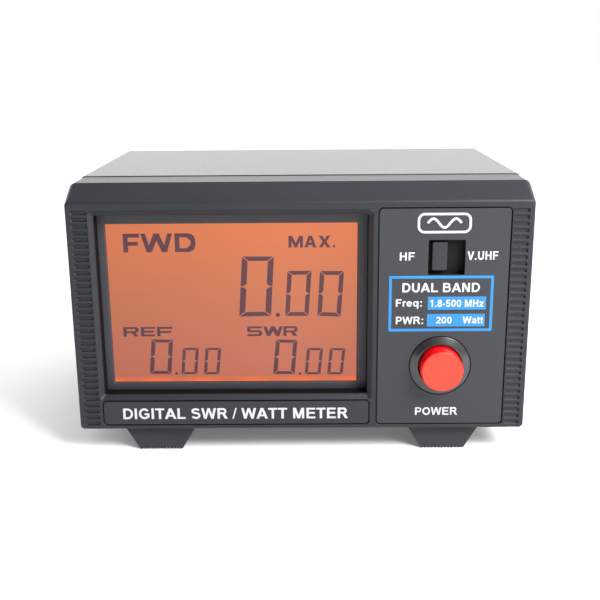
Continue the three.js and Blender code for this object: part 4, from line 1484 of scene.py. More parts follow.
@dataclass(frozen=True)
class FacePanels:
    """The two inlaid panels and everything printed on them."""

    fascia: Pane = Pane(26.5, 70.0, 1.85, 77.9)
    label: Pane = Pane(-69.2, 23.5, 1.85, 10.35)
    corner: float = 1.2
    thickness: float = 0.9
    edge: float = 0.14
    window: Pane = Pane(42.95, 55.3, 55.3, 67.35)
    collar_radius: float = 10.7
    rating: RatingBlock = RatingBlock()
    emblem: WaveEmblem = WaveEmblem()
    hf: Pane = Pane(33.4, 38.4, 60.4, 63.2)
    vuhf: Pane = Pane(55.95, 66.25, 60.45, 63.4)
    power: Pane = Pane(39.85, 54.6, 4.93, 7.86)
    title: Pane = Pane(-62.5, 16.4, 3.8, 7.9)

    def build(self, shop: Workshop) -> None:
        """Makes the panels and their ink.

        Args:
            shop: The workshop.
        """
        centre = shop.datum.centre("button_collar")
        panel = cut(
            soft_prism(self.fascia.outline(self.corner), 0, self.thickness, self.edge),
            straight(self.window.outline(0.5), -1, 2),
            moved(rod(self.collar_radius, -1, 2), centre.x, 0, centre.z),
        )
        shop.piece("fascia_film", panel, FASCIA_FILM, ["fascia_panel"], "fascia_film")
        strip = soft_prism(self.label.outline(self.corner), 0, self.thickness, self.edge)
        shop.piece("label_film", strip, LABEL_FILM, ["label_strip"], "label_film")
        shop.piece("rating_frame_ink", self.rating.blue(), BLUE_INK)
        shop.piece("rating_text_ink", gathered(self.rating.white()), WHITE_INK)
        shop.piece("emblem_ink", self.emblem.mesh(), WHITE_INK)
        words = (("HF", self.hf), ("V.UHF", self.vuhf), ("POWER", self.power))
        inks = [lettering(text, pane, INK_FRONT, INK_BACK) for text, pane in words]
        shop.piece("control_name_ink", gathered(inks), WHITE_INK)
        title = lettering("DIGITAL SWR / WATT METER", self.title, INK_FRONT, INK_BACK)
        shop.piece("title_ink", title, WHITE_INK)


# Display.
@dataclass(frozen=True)
class Glyph:
    """A block capital of the display's legends, drawn in a box from its strokes."""

    letter: str
    pane: Pane
    stem: float
    bar: float

    def outlines(self) -> list[Outline]:
        """Returns the letter's outlines, holes after the outside."""
        w, h = self.pane.x1 - self.pane.x0, self.pane.z1 - self.pane.z0
        shapes = getattr(self, f"draw_{self.letter.lower()}")(w, h, self.stem, self.bar)
        return [[(self.pane.x0 + x, self.pane.z0 + z) for x, z in shape] for shape in shapes]

    @staticmethod
    def draw_f(w: float, h: float, s: float, t: float) -> list[Outline]:
        """Returns F."""
        low, high = 0.46 * h - t / 2, 0.46 * h + t / 2
        return [[(0, 0), (s, 0), (s, low), (0.9 * w, low), (0.9 * w, high), (s, high), (s, h - t), (w, h - t),
                 (w, h), (0, h)]]

    @staticmethod
    def draw_e(w: float, h: float, s: float, t: float) -> list[Outline]:
        """Returns E."""
        low, high = 0.5 * h - t / 2, 0.5 * h + t / 2
        return [[(0, 0), (w, 0), (w, t), (s, t), (s, low), (0.92 * w, low), (0.92 * w, high), (s, high),
                 (s, h - t), (w, h - t), (w, h), (0, h)]]

    @staticmethod
    def draw_w(w: float, h: float, s: float, t: float) -> list[Outline]:
        """Returns W."""
        first, second, half, inner = 0.26 * w, 0.74 * w, 0.55 * s, 1.5 * s
        return [[(0, h), (first - half, 0), (first + half, 0), (w / 2, h - inner), (second - half, 0),
                 (second + half, 0), (w, h), (w - s, h), (second, inner), (w / 2 + half, h),
                 (w / 2 - half, h), (first, inner), (s, h)]]

    @staticmethod
    def draw_d(w: float, h: float, s: float, t: float) -> list[Outline]:
        """Returns D."""
        c = 0.34 * h
        outer = [(0, 0), (w - c, 0), (w - 0.3 * c, 0.3 * c), (w, c), (w, h - c), (w - 0.3 * c, h - 0.3 * c),
                 (w - c, h), (0, h)]
        k = 0.2 * h
        inner = [(s, t), (w - s - k, t), (w - s, t + k), (w - s, h - t - k), (w - s - k, h - t), (s, h - t)]
        return [outer, inner]

    @staticmethod
    def draw_m(w: float, h: float, s: float, t: float) -> list[Outline]:
        """Returns M."""
        half = 0.4 * s
        return [[(0, 0), (s, 0), (s, 0.56 * h), (w / 2 - half, 0), (w / 2 + half, 0), (w - s, 0.56 * h),
                 (w - s, 0), (w, 0), (w, h), (w - 1.2 * s, h), (w / 2, 1.5 * s), (1.2 * s, h), (0, h)]]

    @staticmethod
    def draw_a(w: float, h: float, s: float, t: float) -> list[Outline]:
        """Returns A."""
        foot, top, low = 1.1 * s, h - 1.2 * s, 0.2 * h
        high = low + t

        def edge(z: float) -> float:
            """Returns how far in the left leg's inner edge is at a height."""
            return foot + (w / 2 - foot) * z / top

        outer = [(0, 0), (foot, 0), (edge(low), low), (w - edge(low), low), (w - foot, 0), (w, 0),
                 (w / 2 + 0.6 * s, h), (w / 2 - 0.6 * s, h)]
        return [outer, [(edge(high), high), (w - edge(high), high), (w / 2, top)]]

    @staticmethod
    def draw_x(w: float, h: float, s: float, t: float) -> list[Outline]:
        """Returns X."""
        arm, side, tip = 1.25 * s, 0.68 * s, 0.75 * s
        return [[(0, 0), (arm, 0), (w / 2, h / 2 - tip), (w - arm, 0), (w, 0), (w / 2 + side, h / 2), (w, h),
                 (w - arm, h), (w / 2, h / 2 + tip), (arm, h), (0, h), (w / 2 - side, h / 2)]]

    @staticmethod
    def draw_r(w: float, h: float, s: float, t: float) -> list[Outline]:
        """Returns R."""
        c, low = 0.18 * h, 0.36 * h
        outer = [(0, 0), (s, 0), (s, low), (0.5 * w, low), (w - 1.2 * s, 0), (w, 0), (0.8 * w, low),
                 (w, low + c), (w, h - c), (w - c, h), (0, h)]
        return [outer, [(s, low + t), (w - s, low + t), (w - s, h - t), (s, h - t)]]

    @staticmethod
    def draw_s(w: float, h: float, s: float, t: float) -> list[Outline]:
        """Returns S."""
        c, low, high = 0.14 * h, (h - t) / 2, (h + t) / 2
        return [[(0, 0), (w - c, 0), (w, c), (w, high - c), (w - c, high), (s, high), (s, h - t), (w, h - t),
                 (w, h), (c, h), (0, h - c), (0, low + c), (c, low), (w - s, low), (w - s, t), (0, t)]]


@dataclass(frozen=True)
class Zero:
    """A seven-segment nought: its four corners, stroke widths and gap."""

    top_left: Point
    top_right: Point
    low_left: Point
    low_right: Point
    upright: float
    level: float
    gap: float = 0.26

    def shifted(self, x: float, z: float) -> Zero:
        """Returns a copy moved across the display."""
        corners = (self.top_left, self.top_right, self.low_left, self.low_right)
        return Zero(*[(a + x, b + z) for a, b in corners], self.upright, self.level, self.gap)

    def outlines(self) -> list[Outline]:
        """Returns the outlines of the six lit segments."""
        w = math.dist(self.top_left, self.top_right)
        h = math.dist(self.top_left, self.low_left)
        v, t, g = self.upright, self.level, self.gap
        bend = g * 0.7
        top = [(bend, h), (w - bend, h), (w - v - bend, h - t), (v + bend, h - t)]
        upper = [(0, h - bend), (v, h - t - bend), (v, h / 2 + t / 2 + bend), (v * 0.45, h / 2 + g / 2),
                 (0, h / 2 + g / 2)]
        halves = [top, upper, [(w - x, z) for x, z in upper]]
        return [[self.spot(x / w, z / h) for x, z in shape]
                for shape in halves + [[(x, h - z) for x, z in part] for part in halves]]

    def spot(self, u: float, v: float) -> Point:
        """Returns the place of a point given as shares of width and height."""
        low = [a + (b - a) * u for a, b in zip(self.low_left, self.low_right)]
        top = [a + (b - a) * u for a, b in zip(self.top_left, self.top_right)]
        return tuple(a + (b - a) * v for a, b in zip(low, top))


@dataclass(frozen=True)
class Display:
    """The display: its frame, its lit panel and the marks on it."""

    active: Pane = Pane(-66.2, 19.6, 15.3, 72.2)
    outer: Pane = Pane(-72.8, 26.0, 9.5, 78.4)
    front: float = 6.3
    plate: float = 0.8
    back: float = 17.3
    wall: float = 1.2
    mark_front: float = 7.36
    mark_back: float = 7.42

    def frame_mesh(self) -> Mesh:
        """Returns the frame, with a softened edge round its window."""
        body = soft_prism(self.outer.outline(0.6), self.front, self.back, 0.2)
        bevel = ((-0.5, 0.32), (0.0, 0.3), (0.12, 0.12), (0.35, 0.0))
        steps = [*((self.front + back, by) for back, by in bevel), (self.back + 1, 0.0)]
        window = loft([(y, self.active.grown(by).outline(0.4 + by, 5)) for y, by in steps])
        inside = self.outer.grown(-self.wall)
        rear = self.front + self.plate
        return cut(body, window, straight(inside.outline(0.4), rear, self.back + 1))

    def words(self) -> list[Glyph]:
        """Returns the legends letter by letter."""
        big, small, low = (1.62, 1.35), (1.02, 0.85), (1.15, 0.72)
        rows = [
            ("F", Pane(-60.5, -54.9, 62.2, 68.7), big),
            ("W", Pane(-54.5, -43.6, 62.2, 68.7), big),
            ("D", Pane(-42.8, -35.75, 62.2, 68.7), big),
            ("M", Pane(-3.9, 1.0, 63.5, 67.6), small),
            ("A", Pane(1.5, 5.6, 63.5, 67.6), small),
            ("X", Pane(6.4, 10.4, 63.5, 67.6), small),
            ("R", Pane(-62.25, -56.9, 32.0, 35.45), low),
            ("E", Pane(-56.1, -51.2, 32.0, 35.45), low),
            ("F", Pane(-50.4, -44.96, 32.0, 35.45), low),
            ("S", Pane(-18.75, -13.6, 31.9, 35.45), low),
            ("W", Pane(-13.1, -6.3, 31.9, 35.45), low),
            ("R", Pane(-6.1, -1.1, 31.9, 35.45), low),
        ]
        return [Glyph(letter, pane, stem, bar) for letter, pane, (stem, bar) in rows]

    def noughts(self) -> list[Zero]:
        """Returns the digits that are lit."""
        forward = [
            Zero((-19.92, 60.5), (-8.98, 60.43), (-21.4, 39.06), (-10.3, 39.27), 2.0, 1.55, 0.34),
            Zero((-4.37, 55.28), (3.93, 55.37), (-5.36, 39.24), (2.78, 39.2), 1.55, 1.35),
            Zero((6.82, 55.21), (15.11, 55.16), (5.85, 39.18), (13.99, 38.85), 1.55, 1.35),
        ]
        lower = [
            Zero((-52.5, 30.9), (-44.96, 30.7), (-53.7, 18.05), (-46.06, 18.0), 1.45, 1.1),
            Zero((-41.57, 27.67), (-35.96, 27.64), (-42.5, 17.87), (-36.9, 17.85), 1.1, 0.8, 0.22),
            Zero((-33.56, 27.63), (-28.08, 27.6), (-34.54, 17.82), (-29.05, 17.8), 1.1, 0.8, 0.22),
        ]
        return forward + lower + [digit.shifted(43.8, -0.3) for digit in lower]

    def points(self) -> list[Outline]:
        """Returns the decimal points and the full stop."""
        spots = ((-7.9, 39.6, 0.75), (-44.2, 18.2, 0.5), (-0.4, 17.9, 0.5), (11.6, 63.9, 0.42))
        return [
            [(x + r * math.cos(a), z + r * math.sin(a)) for a in (math.radians(22.5 * k) for k in range(16))]
            for x, z, r in spots
        ]

    def build(self, shop: Workshop) -> None:
        """Makes the display.

        Args:
            shop: The workshop.
        """
        shop.piece("display_frame", self.frame_mesh(), LCD_FRAME_ABS, ["lcd_frame"], "lcd_frame_plastic")
        low, high = shop.datum.box("lcd_glass")
        pane = Pane(low.x, high.x, low.z, high.z)
        panel = soft_prism(pane.outline(0.3), low.y, high.y, 0.15)
        shop.piece("display_panel", panel, LCD_FILM, ["lcd_glass"], "lcd_glass")
        letters = [outline for glyph in self.words() for outline in glyph.outlines()]
        shop.piece("display_legends", flat_shape(letters, self.mark_front, self.mark_back), LCD_MARK)
        digits = [outline for nought in self.noughts() for outline in nought.outlines()]
        marks = flat_shape([*digits, *self.points()], self.mark_front, self.mark_back)
        shop.piece("display_digits", marks, LCD_MARK)
        shop.dress(LIGHT_GUIDE, "backlight_guide")
        shop.dress(ZEBRA, "zebra_strip_lower", "zebra_strip_upper")


# Power button.
@dataclass(frozen=True)
class PowerButton:
    """The red push button with its collar, spring and switch."""

    radius: float = 7.2
    front: float = -6.4
    back: float = 2.6
    wall: float = 1.5
    face: float = 1.8
    round_over: float = 0.75
    boss_radius: float = 3.4
    boss_end: float = -0.5
    socket_half: float = 2.0
    collar_radius: float = 10.4
    collar_bore: float = 7.55
    collar_barrel: float = 8.7
    collar_rise: float = 1.0
    collar_end: float = 4.5
    collar_seat: float = 0.9
    spring_radius: float = 3.1
    wire: float = 0.25
    spring_turns: float = 5.0
    spring_front: float = -0.2
    spring_back: float = 6.9
    spring_keep: float = 0.52

    def cap(self) -> Mesh:
        """Returns the cap; its face has material 1, the red painted paler as a painted highlight."""
        inner = self.radius - self.wall
        r = self.round_over
        rounding = [
            (self.radius - r + r * math.sin(a), self.front + r - r * math.cos(a))
            for a in (math.radians(90 * k / 8) for k in range(9))
        ]
        hollow = ((0, 0.16), (3.0, 0.13), (5.2, 0.05), (6.0, 0.01))
        dish = [(radius, self.front + sunk) for radius, sunk in hollow]
        floor, ease = self.front + self.face, 0.3
        skirt = [(self.radius, self.back - ease), (self.radius - ease, self.back), (inner, self.back)]
        profile = [*dish, *rounding, *skirt, (inner, floor), (0, floor)]
        half = self.socket_half
        mesh = cut(
            joined(turned(profile, 96), rod(self.boss_radius, self.front + 1, self.boss_end, 32)),
            brick(-half, half, -4.2, self.boss_end + 1, -half, half),
        )
        # Faces on the cap's front take material 1, the red painted paler as a painted highlight.
        for face in mesh.polygons:
            front = face.normal.y < -0.8 and face.center.y < self.front + 0.6
            face.material_index = 1 if front else 0
        return mesh

    def collar(self) -> Mesh:
        """Returns the collar round the button."""
        flange = [
            (self.collar_bore, -self.collar_rise),
            (self.collar_bore + 0.6, -self.collar_rise),
            (self.collar_radius, -0.1),
            (self.collar_radius, self.collar_seat),
            (self.collar_barrel, self.collar_seat),
            (self.collar_barrel, self.collar_end),
            (self.collar_bore, self.collar_end),
        ]
        return turned(softened(flange, 0.22, 3), 96)

    def build(self, shop: Workshop) -> None:
        """Makes the button and what it works.

        Args:
            shop: The workshop.
        """
        centre = shop.datum.centre("button_collar")
        x, z = centre.x, centre.z
        collar = moved(self.collar(), x, 0, z)
        shop.piece("power_collar", collar, COLLAR_ABS, ["button_collar"], "black_plastic")
        cap = moved(self.cap(), x, 0, z)
        shop.piece("power_cap", cap, (RED_SIDE, RED_FACE_PAINTED_LIGHT), ["power_button_cap"], "red_plastic", Body.BUTTON)
        length = self.spring_back - self.spring_front - 2 * self.wire
        radius, wire = self.spring_radius, self.wire
        coil = shop.threads.wind(radius, wire, self.spring_turns, length, SPRING_STEEL, 40, 10)
        coil = moved(coil, x, self.spring_front + wire, z)
        spring = shop.piece("return_spring", coil, SPRING_STEEL, ["power_switch_spring"], "spring_steel")
        anchor = shop.datum.metres(x, self.spring_back, z)
        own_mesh(spring)
        shop.dress(BLACK_ACETAL, "power_switch_plunger", "power_switch_body")


# Band switch.
@dataclass(frozen=True)
class BandSwitch:
    """The slide switch between the two bands."""

    width: float = 5.3
    height: float = 9.9
    front: float = 0.7
    shutter_front: float = 3.4
    shutter_back: float = 4.3
    shutter_left: float = 9.0
    shutter_right: float = 12.4
    shutter_height: float = 15.0
    round_over: float = 0.55
    stem_half: Point = (1.6, 2.2)
    stem_end: float = 10.6

    def knob(self) -> Mesh:
        """Returns the knob with its shutter and stem, which have material 1, the acetal painted darker as
        shade.
        """
        half, up = self.width / 2, self.height / 2
        outline = Pane(-half, half, -up, up).outline(0.7)
        body = soft_prism(outline, self.front, self.shutter_front + 0.6, self.round_over, steps=5)
        rise = self.shutter_height / 2
        shutter = Pane(-self.shutter_left, self.shutter_right, -rise, rise)
        stem_x, stem_z = self.stem_half
        stem = Pane(-stem_x, stem_x, -stem_z, stem_z)
        mesh = joined(
            body,
            soft_prism(shutter.outline(0.6), self.shutter_front, self.shutter_back, 0.2),
            soft_prism(stem.outline(0.3), self.shutter_back - 0.2, self.stem_end, 0.15),
        )
        # The shutter and stem behind the window take material 1, the acetal painted darker as shade.
        for face in mesh.polygons:
            face.material_index = 1 if face.center.y > self.shutter_front - 0.01 else 0
        return mesh

    def build(self, shop: Workshop) -> None:
        """Makes the switch.

        Args:
            shop: The workshop.
        """
        low, high = shop.datum.box("band_switch_knob")
        x, z = low.x + self.shutter_left, (low.z + high.z) / 2
        knob = moved(self.knob(), x, 0, z)
        finishes = (BLACK_ACETAL, SHUTTER_PAINTED_SHADE)
        shop.piece("band_knob", knob, finishes, ["band_switch_knob"], "black_plastic", Body.SWITCH)
        shop.dress(SWITCH_CAN, "band_switch_body")


# Case.
@dataclass(frozen=True)
class MachineScrew:
    """A pan-head screw with a cross recess, along +y from under its head."""

    head_radius: float
    head_height: float
    shank_radius: float
    length: float
    recess_width: float = 0.55

    def mesh(self) -> Mesh:
        """Returns the screw."""
        r, h = self.head_radius, self.head_height
        head = softened([(0.001, -h), (r * 0.72, -h), (r, -h * 0.5), (r, 0), (self.shank_radius, 0),
                         (self.shank_radius, self.length), (0.001, self.length)], 0.25, 3)
        body = turned([(0, -h), *[p for p in head if p[0] > 0.2], (0, self.length)], 40)
        arm, half = r * 0.52, self.recess_width / 2
        tools = []
        for turn in (0, math.pi / 2):
            wide = Pane(-arm, arm, -half, half)
            narrow = Pane(-arm * 0.45, arm * 0.45, -half * 0.8, half * 0.8)
            tool = loft([(-h - 0.5, wide.outline()), (-h, wide.outline()), (-h * 0.25, narrow.outline())])
            tools.append(moved(tool, turn=Matrix.Rotation(turn, 4, "Y")))
        return cut(body, *tools)


@dataclass(frozen=True)
class RubberFoot:
    """A wedge-shaped rubber foot with a grooved sole and a sunk screw."""

    drop: float = 9.1
    top_half: float = 12.8
    bottom_half: float = 7.6
    length: float = 18.0
    groove_count: int = 12
    groove_pitch: float = 1.17
    groove_half: float = 0.28
    groove_depth: float = 0.7
    well_radius: float = 3.3
    well_depth: float = 4.4

    def mesh(self, shop: Workshop, top: float) -> Mesh:
        """Returns one foot about the middle of its length.

        Args:
            shop: The workshop.
            top: Height of its upper face.

        Returns:
            The closed mesh.
        """
        corners = [(-self.bottom_half, -self.drop), (self.bottom_half, -self.drop), (self.top_half, top),
                   (-self.top_half, top)]
        body = soft_prism(softened(corners, 0.5, 4), -self.length / 2, self.length / 2, 0.22)
        slot = Pane(-self.groove_half, self.groove_half, -self.drop - 1, -self.drop + self.groove_depth)
        tool = straight(slot.outline(0.2), -self.length, self.length)
        start = Vector((-self.groove_pitch * (self.groove_count - 1) / 2, 0, 0))
        step = Vector((self.groove_pitch, 0, 0))
        grooves = shop.rows.run(tool, Count=self.groove_count, Start=start, Step=step)
        well = rod(self.well_radius, -self.drop - 1, -self.drop + self.well_depth, 40)
        hole = rod(FOOT_HOLE, -self.drop, top + 1, 24)
        return cut(body, grooves, moved(well, turn=RISING), moved(hole, turn=RISING))


@dataclass(frozen=True)
class Cover:
    """The folded and painted steel cover."""

    half_width: float = 77.6
    top: float = 86.3
    bottom: float = 0.8
    front: float = 23.9
    back: float = 109.6
    corner: float = 1.6
    sheet: float = 1.0
    screw_z: float = 8.0
    screw_y: Point = (40.0, 92.0)
    hole: float = 1.6
    hole_reach: float = 90.0
    screw: MachineScrew = MachineScrew(2.7, 1.1, 1.3, 5.0)

    def mesh(self) -> Mesh:
        """Returns the cover."""
        outer = self.bend(self.half_width, self.top, self.corner)
        inner = self.bend(self.half_width - self.sheet, self.top - self.sheet, self.corner - self.sheet)
        section = outer + inner[::-1]
        return cut(eased(straight(section, self.front, self.back), 0.22, 2, 60), *self.screw_holes())

    def screw_holes(self) -> list[Mesh]:
        """Returns the tools that cut the screw holes, each through both sides."""
        reach = self.hole_reach
        return [moved(rod(self.hole, -reach, reach, 24), 0, y, self.screw_z, SIDEWAYS) for y in self.screw_y]

    def bend(self, half: float, top: float, radius: float, steps: int = 8) -> Outline:
        """Returns the path up one side, over the top and down the other.

        Args:
            half: Half of the width.
            top: Height of the top.
            radius: Radius of the two bends.
            steps: Pieces that each bend is drawn in.

        Returns:
            Points from the lower right to the lower left.
        """
        angles = [math.radians(90 * k / steps) for k in range(steps + 1)]
        right = [(half - radius + radius * math.cos(a), top - radius + radius * math.sin(a)) for a in angles]
        left = [(-x, z) for x, z in reversed(right)]
        return [(half, self.bottom), *right, *left, (-half, self.bottom)]

    def screw_meshes(self, shop: Workshop) -> Mesh:
        """Returns the four screws in the cover's sides.

        Args:
            shop: The workshop.

        Returns:
            One mesh of all four.
        """
        seat = self.half_width + 0.3
        made = []
        for side in (-1, 1):
            part = moved(self.screw.mesh(), turn=Matrix.Rotation(side * math.pi / 2, 4, "Z"))
            spots = [(side * seat, y, self.screw_z) for y in self.screw_y]
            made.append(shop.places.place(part, spots, BLACK_SCREW))
        return gathered(made)


@dataclass(frozen=True)
class Chassis:
    """The folded steel tray: floor, front tongue, side lips and rear panel."""

    half_width: float = 75.7
    tongue_half: float = 64.0
    tongue_front: float = 8.0
    tongue_z: float = 2.7
    floor_z: float = 0.8
    step_y: float = 24.0
    rear: float = 108.9
    top: float = 84.8
    sheet: float = 1.0
    lip_height: float = 12.0
    lip: Point = (28.0, 103.5)
    socket_z: float = 46.0
    socket_hole: float = 8.0
    jack_z: float = 16.0
    jack_hole: float = 4.2

    def mesh(self, sockets: Sequence[float], feet: Sequence[Vector], holes: Sequence[Mesh]) -> Mesh:
        """Returns the tray.

        Args:
            sockets: x of each coax socket.
            feet: Middle of each foot.
            holes: Tools that cut the holes for the cover's screws.

        Returns:
            The closed mesh.
        """
        drop = self.tongue_z - self.floor_z
        t, y = self.sheet, self.step_y
        side = [
            (self.tongue_front, self.tongue_z), (y, self.tongue_z), (y + drop, self.floor_z),
            (self.rear, self.floor_z), (self.rear, self.top), (self.rear - t, self.top),
            (self.rear - t, self.floor_z + t), (y + drop + 0.4, self.floor_z + t),
            (y + 0.4, self.tongue_z + t), (self.tongue_front, self.tongue_z + t),
        ]
        outline = self.folded(side)
        tray = loft([(-self.half_width, outline), (self.half_width, outline)], Plane.SIDE)
        lips = [
            brick(*sorted((s * self.half_width, s * (self.half_width - t))), *self.lip, self.floor_z + 0.05,
                  self.lip_height)
            for s in (-1, 1)
        ]
        corners = [
            brick(*sorted((s * self.tongue_half, s * (self.half_width + 1))), self.tongue_front - 1,
                  y + 2.8, -1, self.tongue_z + 2)
            for s in (-1, 1)
        ]
        near, far = self.rear - 3, self.rear + 1
        return cut(
            joined(tray, *lips),
            *corners,
            *[moved(rod(self.socket_hole, near, far, 48), x, 0, self.socket_z) for x in sockets],
            moved(rod(self.jack_hole, near, far, 32), 0, 0, self.jack_z),
            *holes,
            *[moved(rod(FOOT_HOLE, -1, 5, 24), foot.x, foot.y, 0, RISING) for foot in feet],
        )

    def folded(self, side: Sequence[Point]) -> Outline:
        """Rounds the bends of the side view, and leaves the cut ends square.

        Args:
            side: Corners of the side view.

        Returns:
            The outline.
        """
        cut_ends, outer_bends = (0, 4, 5, 9), (1, 2, 3)
        cut_edge, outer_reach, inner_reach = 0.08, 1.4, 0.5
        made: Outline = []
        for i, corner in enumerate(side):
            before, after = Vector(side[i - 1]), Vector(side[(i + 1) % len(side)])
            spot = Vector(corner)
            reach = cut_edge if i in cut_ends else (outer_reach if i in outer_bends else inner_reach)
            start = spot + (before - spot).normalized() * reach
            end = spot + (after - spot).normalized() * reach
            for t in (0, 0.25, 0.5, 0.75, 1):
                point = start * (1 - t) ** 2 + spot * 2 * t * (1 - t) + end * t**2
                made.append((point.x, point.y))
        return made


@dataclass(frozen=True)
class Case:
    """Cover, chassis, feet and the screws that hold them."""

    cover: Cover = Cover()
    chassis: Chassis = Chassis()
    foot: RubberFoot = RubberFoot()
    foot_screw: MachineScrew = MachineScrew(2.9, 1.8, 1.5, 9.5)

    def build(self, shop: Workshop) -> None:
        """Makes the case.

        Args:
            shop: The workshop.
        """
        sides, ends = ("left", "right"), ("front", "rear")
        corners = [f"{end}_{side}" for end in ends for side in sides]
        feet = {corner: shop.datum.centre(f"foot_{corner}") for corner in corners}
        sockets = [shop.datum.centre(f"{name}_shell").x for name in SOCKET_KINDS]
        cover_screws = [f"cover_screw_{side}_{end}" for side in sides for end in ends]
        shop.piece("steel_cover", self.cover.mesh(), COVER_PAINT, ["top_cover"], "cover_paint")
        screws = self.cover.screw_meshes(shop)
        shop.piece("cover_screws", screws, BLACK_SCREW, cover_screws, "black_screw_steel")
        tray = self.chassis.mesh(sockets, list(feet.values()), self.cover.screw_holes())
        shop.piece("steel_chassis", tray, CHASSIS_COAT, ["chassis_tray"], "chassis_steel")
        for corner, centre in feet.items():
            _, high = shop.datum.box(f"foot_{corner}")
            mesh = moved(self.foot.mesh(shop, high.z), centre.x, centre.y, 0)
            shop.piece(f"rubber_foot_{corner}", mesh, FOOT_RUBBER, [f"foot_{corner}"], "foot_rubber")
        seat = -self.foot.drop + self.foot.well_depth - 0.3
        part = moved(self.foot_screw.mesh(), turn=RISING)
        screws = shop.places.place(part, [(c.x, c.y, seat) for c in feet.values()], BLACK_SCREW)
        names = [f"foot_screw_{corner}" for corner in corners]
        shop.piece("foot_screws", screws, BLACK_SCREW, names, "black_screw_steel")
        self.print_rear(shop)

    def print_rear(self, shop: Workshop) -> None:
        """Prints the names of the sockets on the rear panel.

        Args:
            shop: The workshop.
        """
        words = (
            ("INPUT", -56, 61.2, 9.0), ("OUTPUT", -20, 61.2, 11.0), ("INPUT", 20, 61.2, 9.0),
            ("OUTPUT", 56, 61.2, 11.0), ("HF", -38, 69.0, 5.2), ("V.UHF", 38, 69.0, 12.0),
            ("DC 12V", 14.5, 14.6, 12.0),
        )
        back = self.chassis.rear
        inks = []
        for text, x, z, width in words:
            ink = lettering(text, Pane(-width / 2, width / 2, 0, 2.8), -0.04, 0.02)
            inks.append(moved(ink, x, back, z, ABOUT))
        shop.piece("rear_panel_ink", gathered(inks), WHITE_INK)


# Rear sockets.
SOCKET_KINDS = {
    "hf_input": CoaxKind.UHF,
    "hf_output": CoaxKind.UHF,
    "vuhf_input": CoaxKind.N,
    "vuhf_output": CoaxKind.N,
}


@dataclass(frozen=True)
class Core:
    """Radii of a socket's insulator and contact, and how deep each sits in the mouth."""

    insulator_hole: float
    insulator_sunk: float
    contact: float
    contact_bore: float
    contact_sunk: float


CORES = {
    CoaxKind.UHF: Core(2.9, 3.5, 2.6, 2.0, 3.0),
    CoaxKind.N: Core(1.9, 13.8, 1.6, 0.9, 6.0),
}


@dataclass(frozen=True)
class CoaxSocket:
    """A square-flanged threaded coax socket, about its own middle.

    Its y runs from the back of the flange out to the mouth.
    """

    kind: CoaxKind
    flange_half: float = 12.7
    flange_thickness: float = 1.6
    thread: float = 7.95
    pitch: float = 1.06
    thread_height: float = 0.5
    bore: float = 6.2
    length: float = 17.8
    spigot: float = 7.6
    spigot_depth: float = 3.0
    tail: float = 12.0
    tail_radius: float = 1.3
    well_depth: float = 9.0
    slot_half: float = 0.18
    clearance: float = 0.3
    screw_half: float = 9.1
    notch_count: int = 4
    notch_depth: float = 0.9
    notch_half: float = 0.7

    def shell(self, shop: Workshop) -> Mesh:
        """Returns the plated shell with its flange and thread.

        Args:
            shop: The workshop.

        Returns:
            The mesh.
        """
        core = self.thread - self.thread_height
        t = self.flange_thickness
        profile = [(self.bore, -self.spigot_depth), (self.spigot, -self.spigot_depth), (self.spigot, t / 2),
                   (core, t / 2), (core, self.length - 0.5), (core - 0.45, self.length),
                   (self.bore + 0.25, self.length), (self.bore, self.length - 0.25)]
        barrel, half = turned(profile), self.flange_half
        plate = soft_prism(Pane(-half, half, -half, half).outline(1.2), 0, t, 0.2)
        body = joined(cut(plate, rod(self.bore, -1, 3)), barrel)
        if self.kind is CoaxKind.UHF:
            teeth = [
                moved(brick(self.bore - 1, self.thread + 1, self.length - self.notch_depth, self.length + 1,
                            -self.notch_half, self.notch_half),
                      turn=Matrix.Rotation(math.radians(45 + 360 * k / self.notch_count), 4, "Y"))
                for k in range(self.notch_count)
            ]
            body = cut(body, *teeth)
        run = self.length - t - 1.6
        wire = self.thread_height
        coil = shop.threads.wind(core, wire, run / self.pitch, run, NICKEL, 48, 6)
        return gathered([body, moved(coil, 0, t + 0.5, 0)])

    def insulator(self) -> Mesh:
        """Returns the sleeve between the shell and the contact."""
        core = CORES[self.kind]
        hole, front = core.insulator_hole, self.length - core.insulator_sunk
        outer, back = self.bore - self.clearance, -self.spigot_depth
        return turned(softened([(hole, back), (outer, back), (outer, front), (hole, front)], 0.3, 3))

    def contact(self) -> Mesh:
        """Returns the centre contact with its slotted mouth."""
        core = CORES[self.kind]
        outer, bore, front = core.contact, core.contact_bore, self.length - core.contact_sunk
        tail, well = self.tail_radius, front - self.well_depth
        end, seat = -self.tail, -self.spigot_depth
        profile = [(0, end), (tail - 0.2, end), (tail, end + 0.2), (tail, seat), (outer, seat),
                   (outer, front - 0.3), (outer - 0.25, front), (bore + 0.1, front), (bore, front - 0.15),
                   (bore, well), (0, well)]
        body = turned(profile, 40)
        slot = self.slot_half
        tools = [
            moved(brick(-4, 4, front - 6, front + 1, -slot, slot), turn=Matrix.Rotation(turn, 4, "Y"))
            for turn in (math.pi / 4, -math.pi / 4)
        ]
        return cut(body, *tools)

    def build(self, shop: Workshop, name: str) -> Vector:
        """Makes one socket.

        Args:
            shop: The workshop.
            name: The socket's name.

        Returns:
            Its middle, at the back of the flange, in face millimetres.
        """
        low, high = shop.datum.box(f"{name}_shell")
        base = Vector(((low.x + high.x) / 2, low.y + self.spigot_depth, (low.z + high.z) / 2))
        for part, mesh, finish, slot in (
            ("shell", self.shell(shop), NICKEL, "nickel_plate"),
            ("insulator", self.insulator(), PTFE, "ptfe"),
            ("contact", self.contact(), GOLD, "gold_plate"),
        ):
            piece = f"{name}_turned_{part}"
            shop.piece(piece, moved(mesh, *base), finish, [f"{name}_{part}"], slot)
        return base


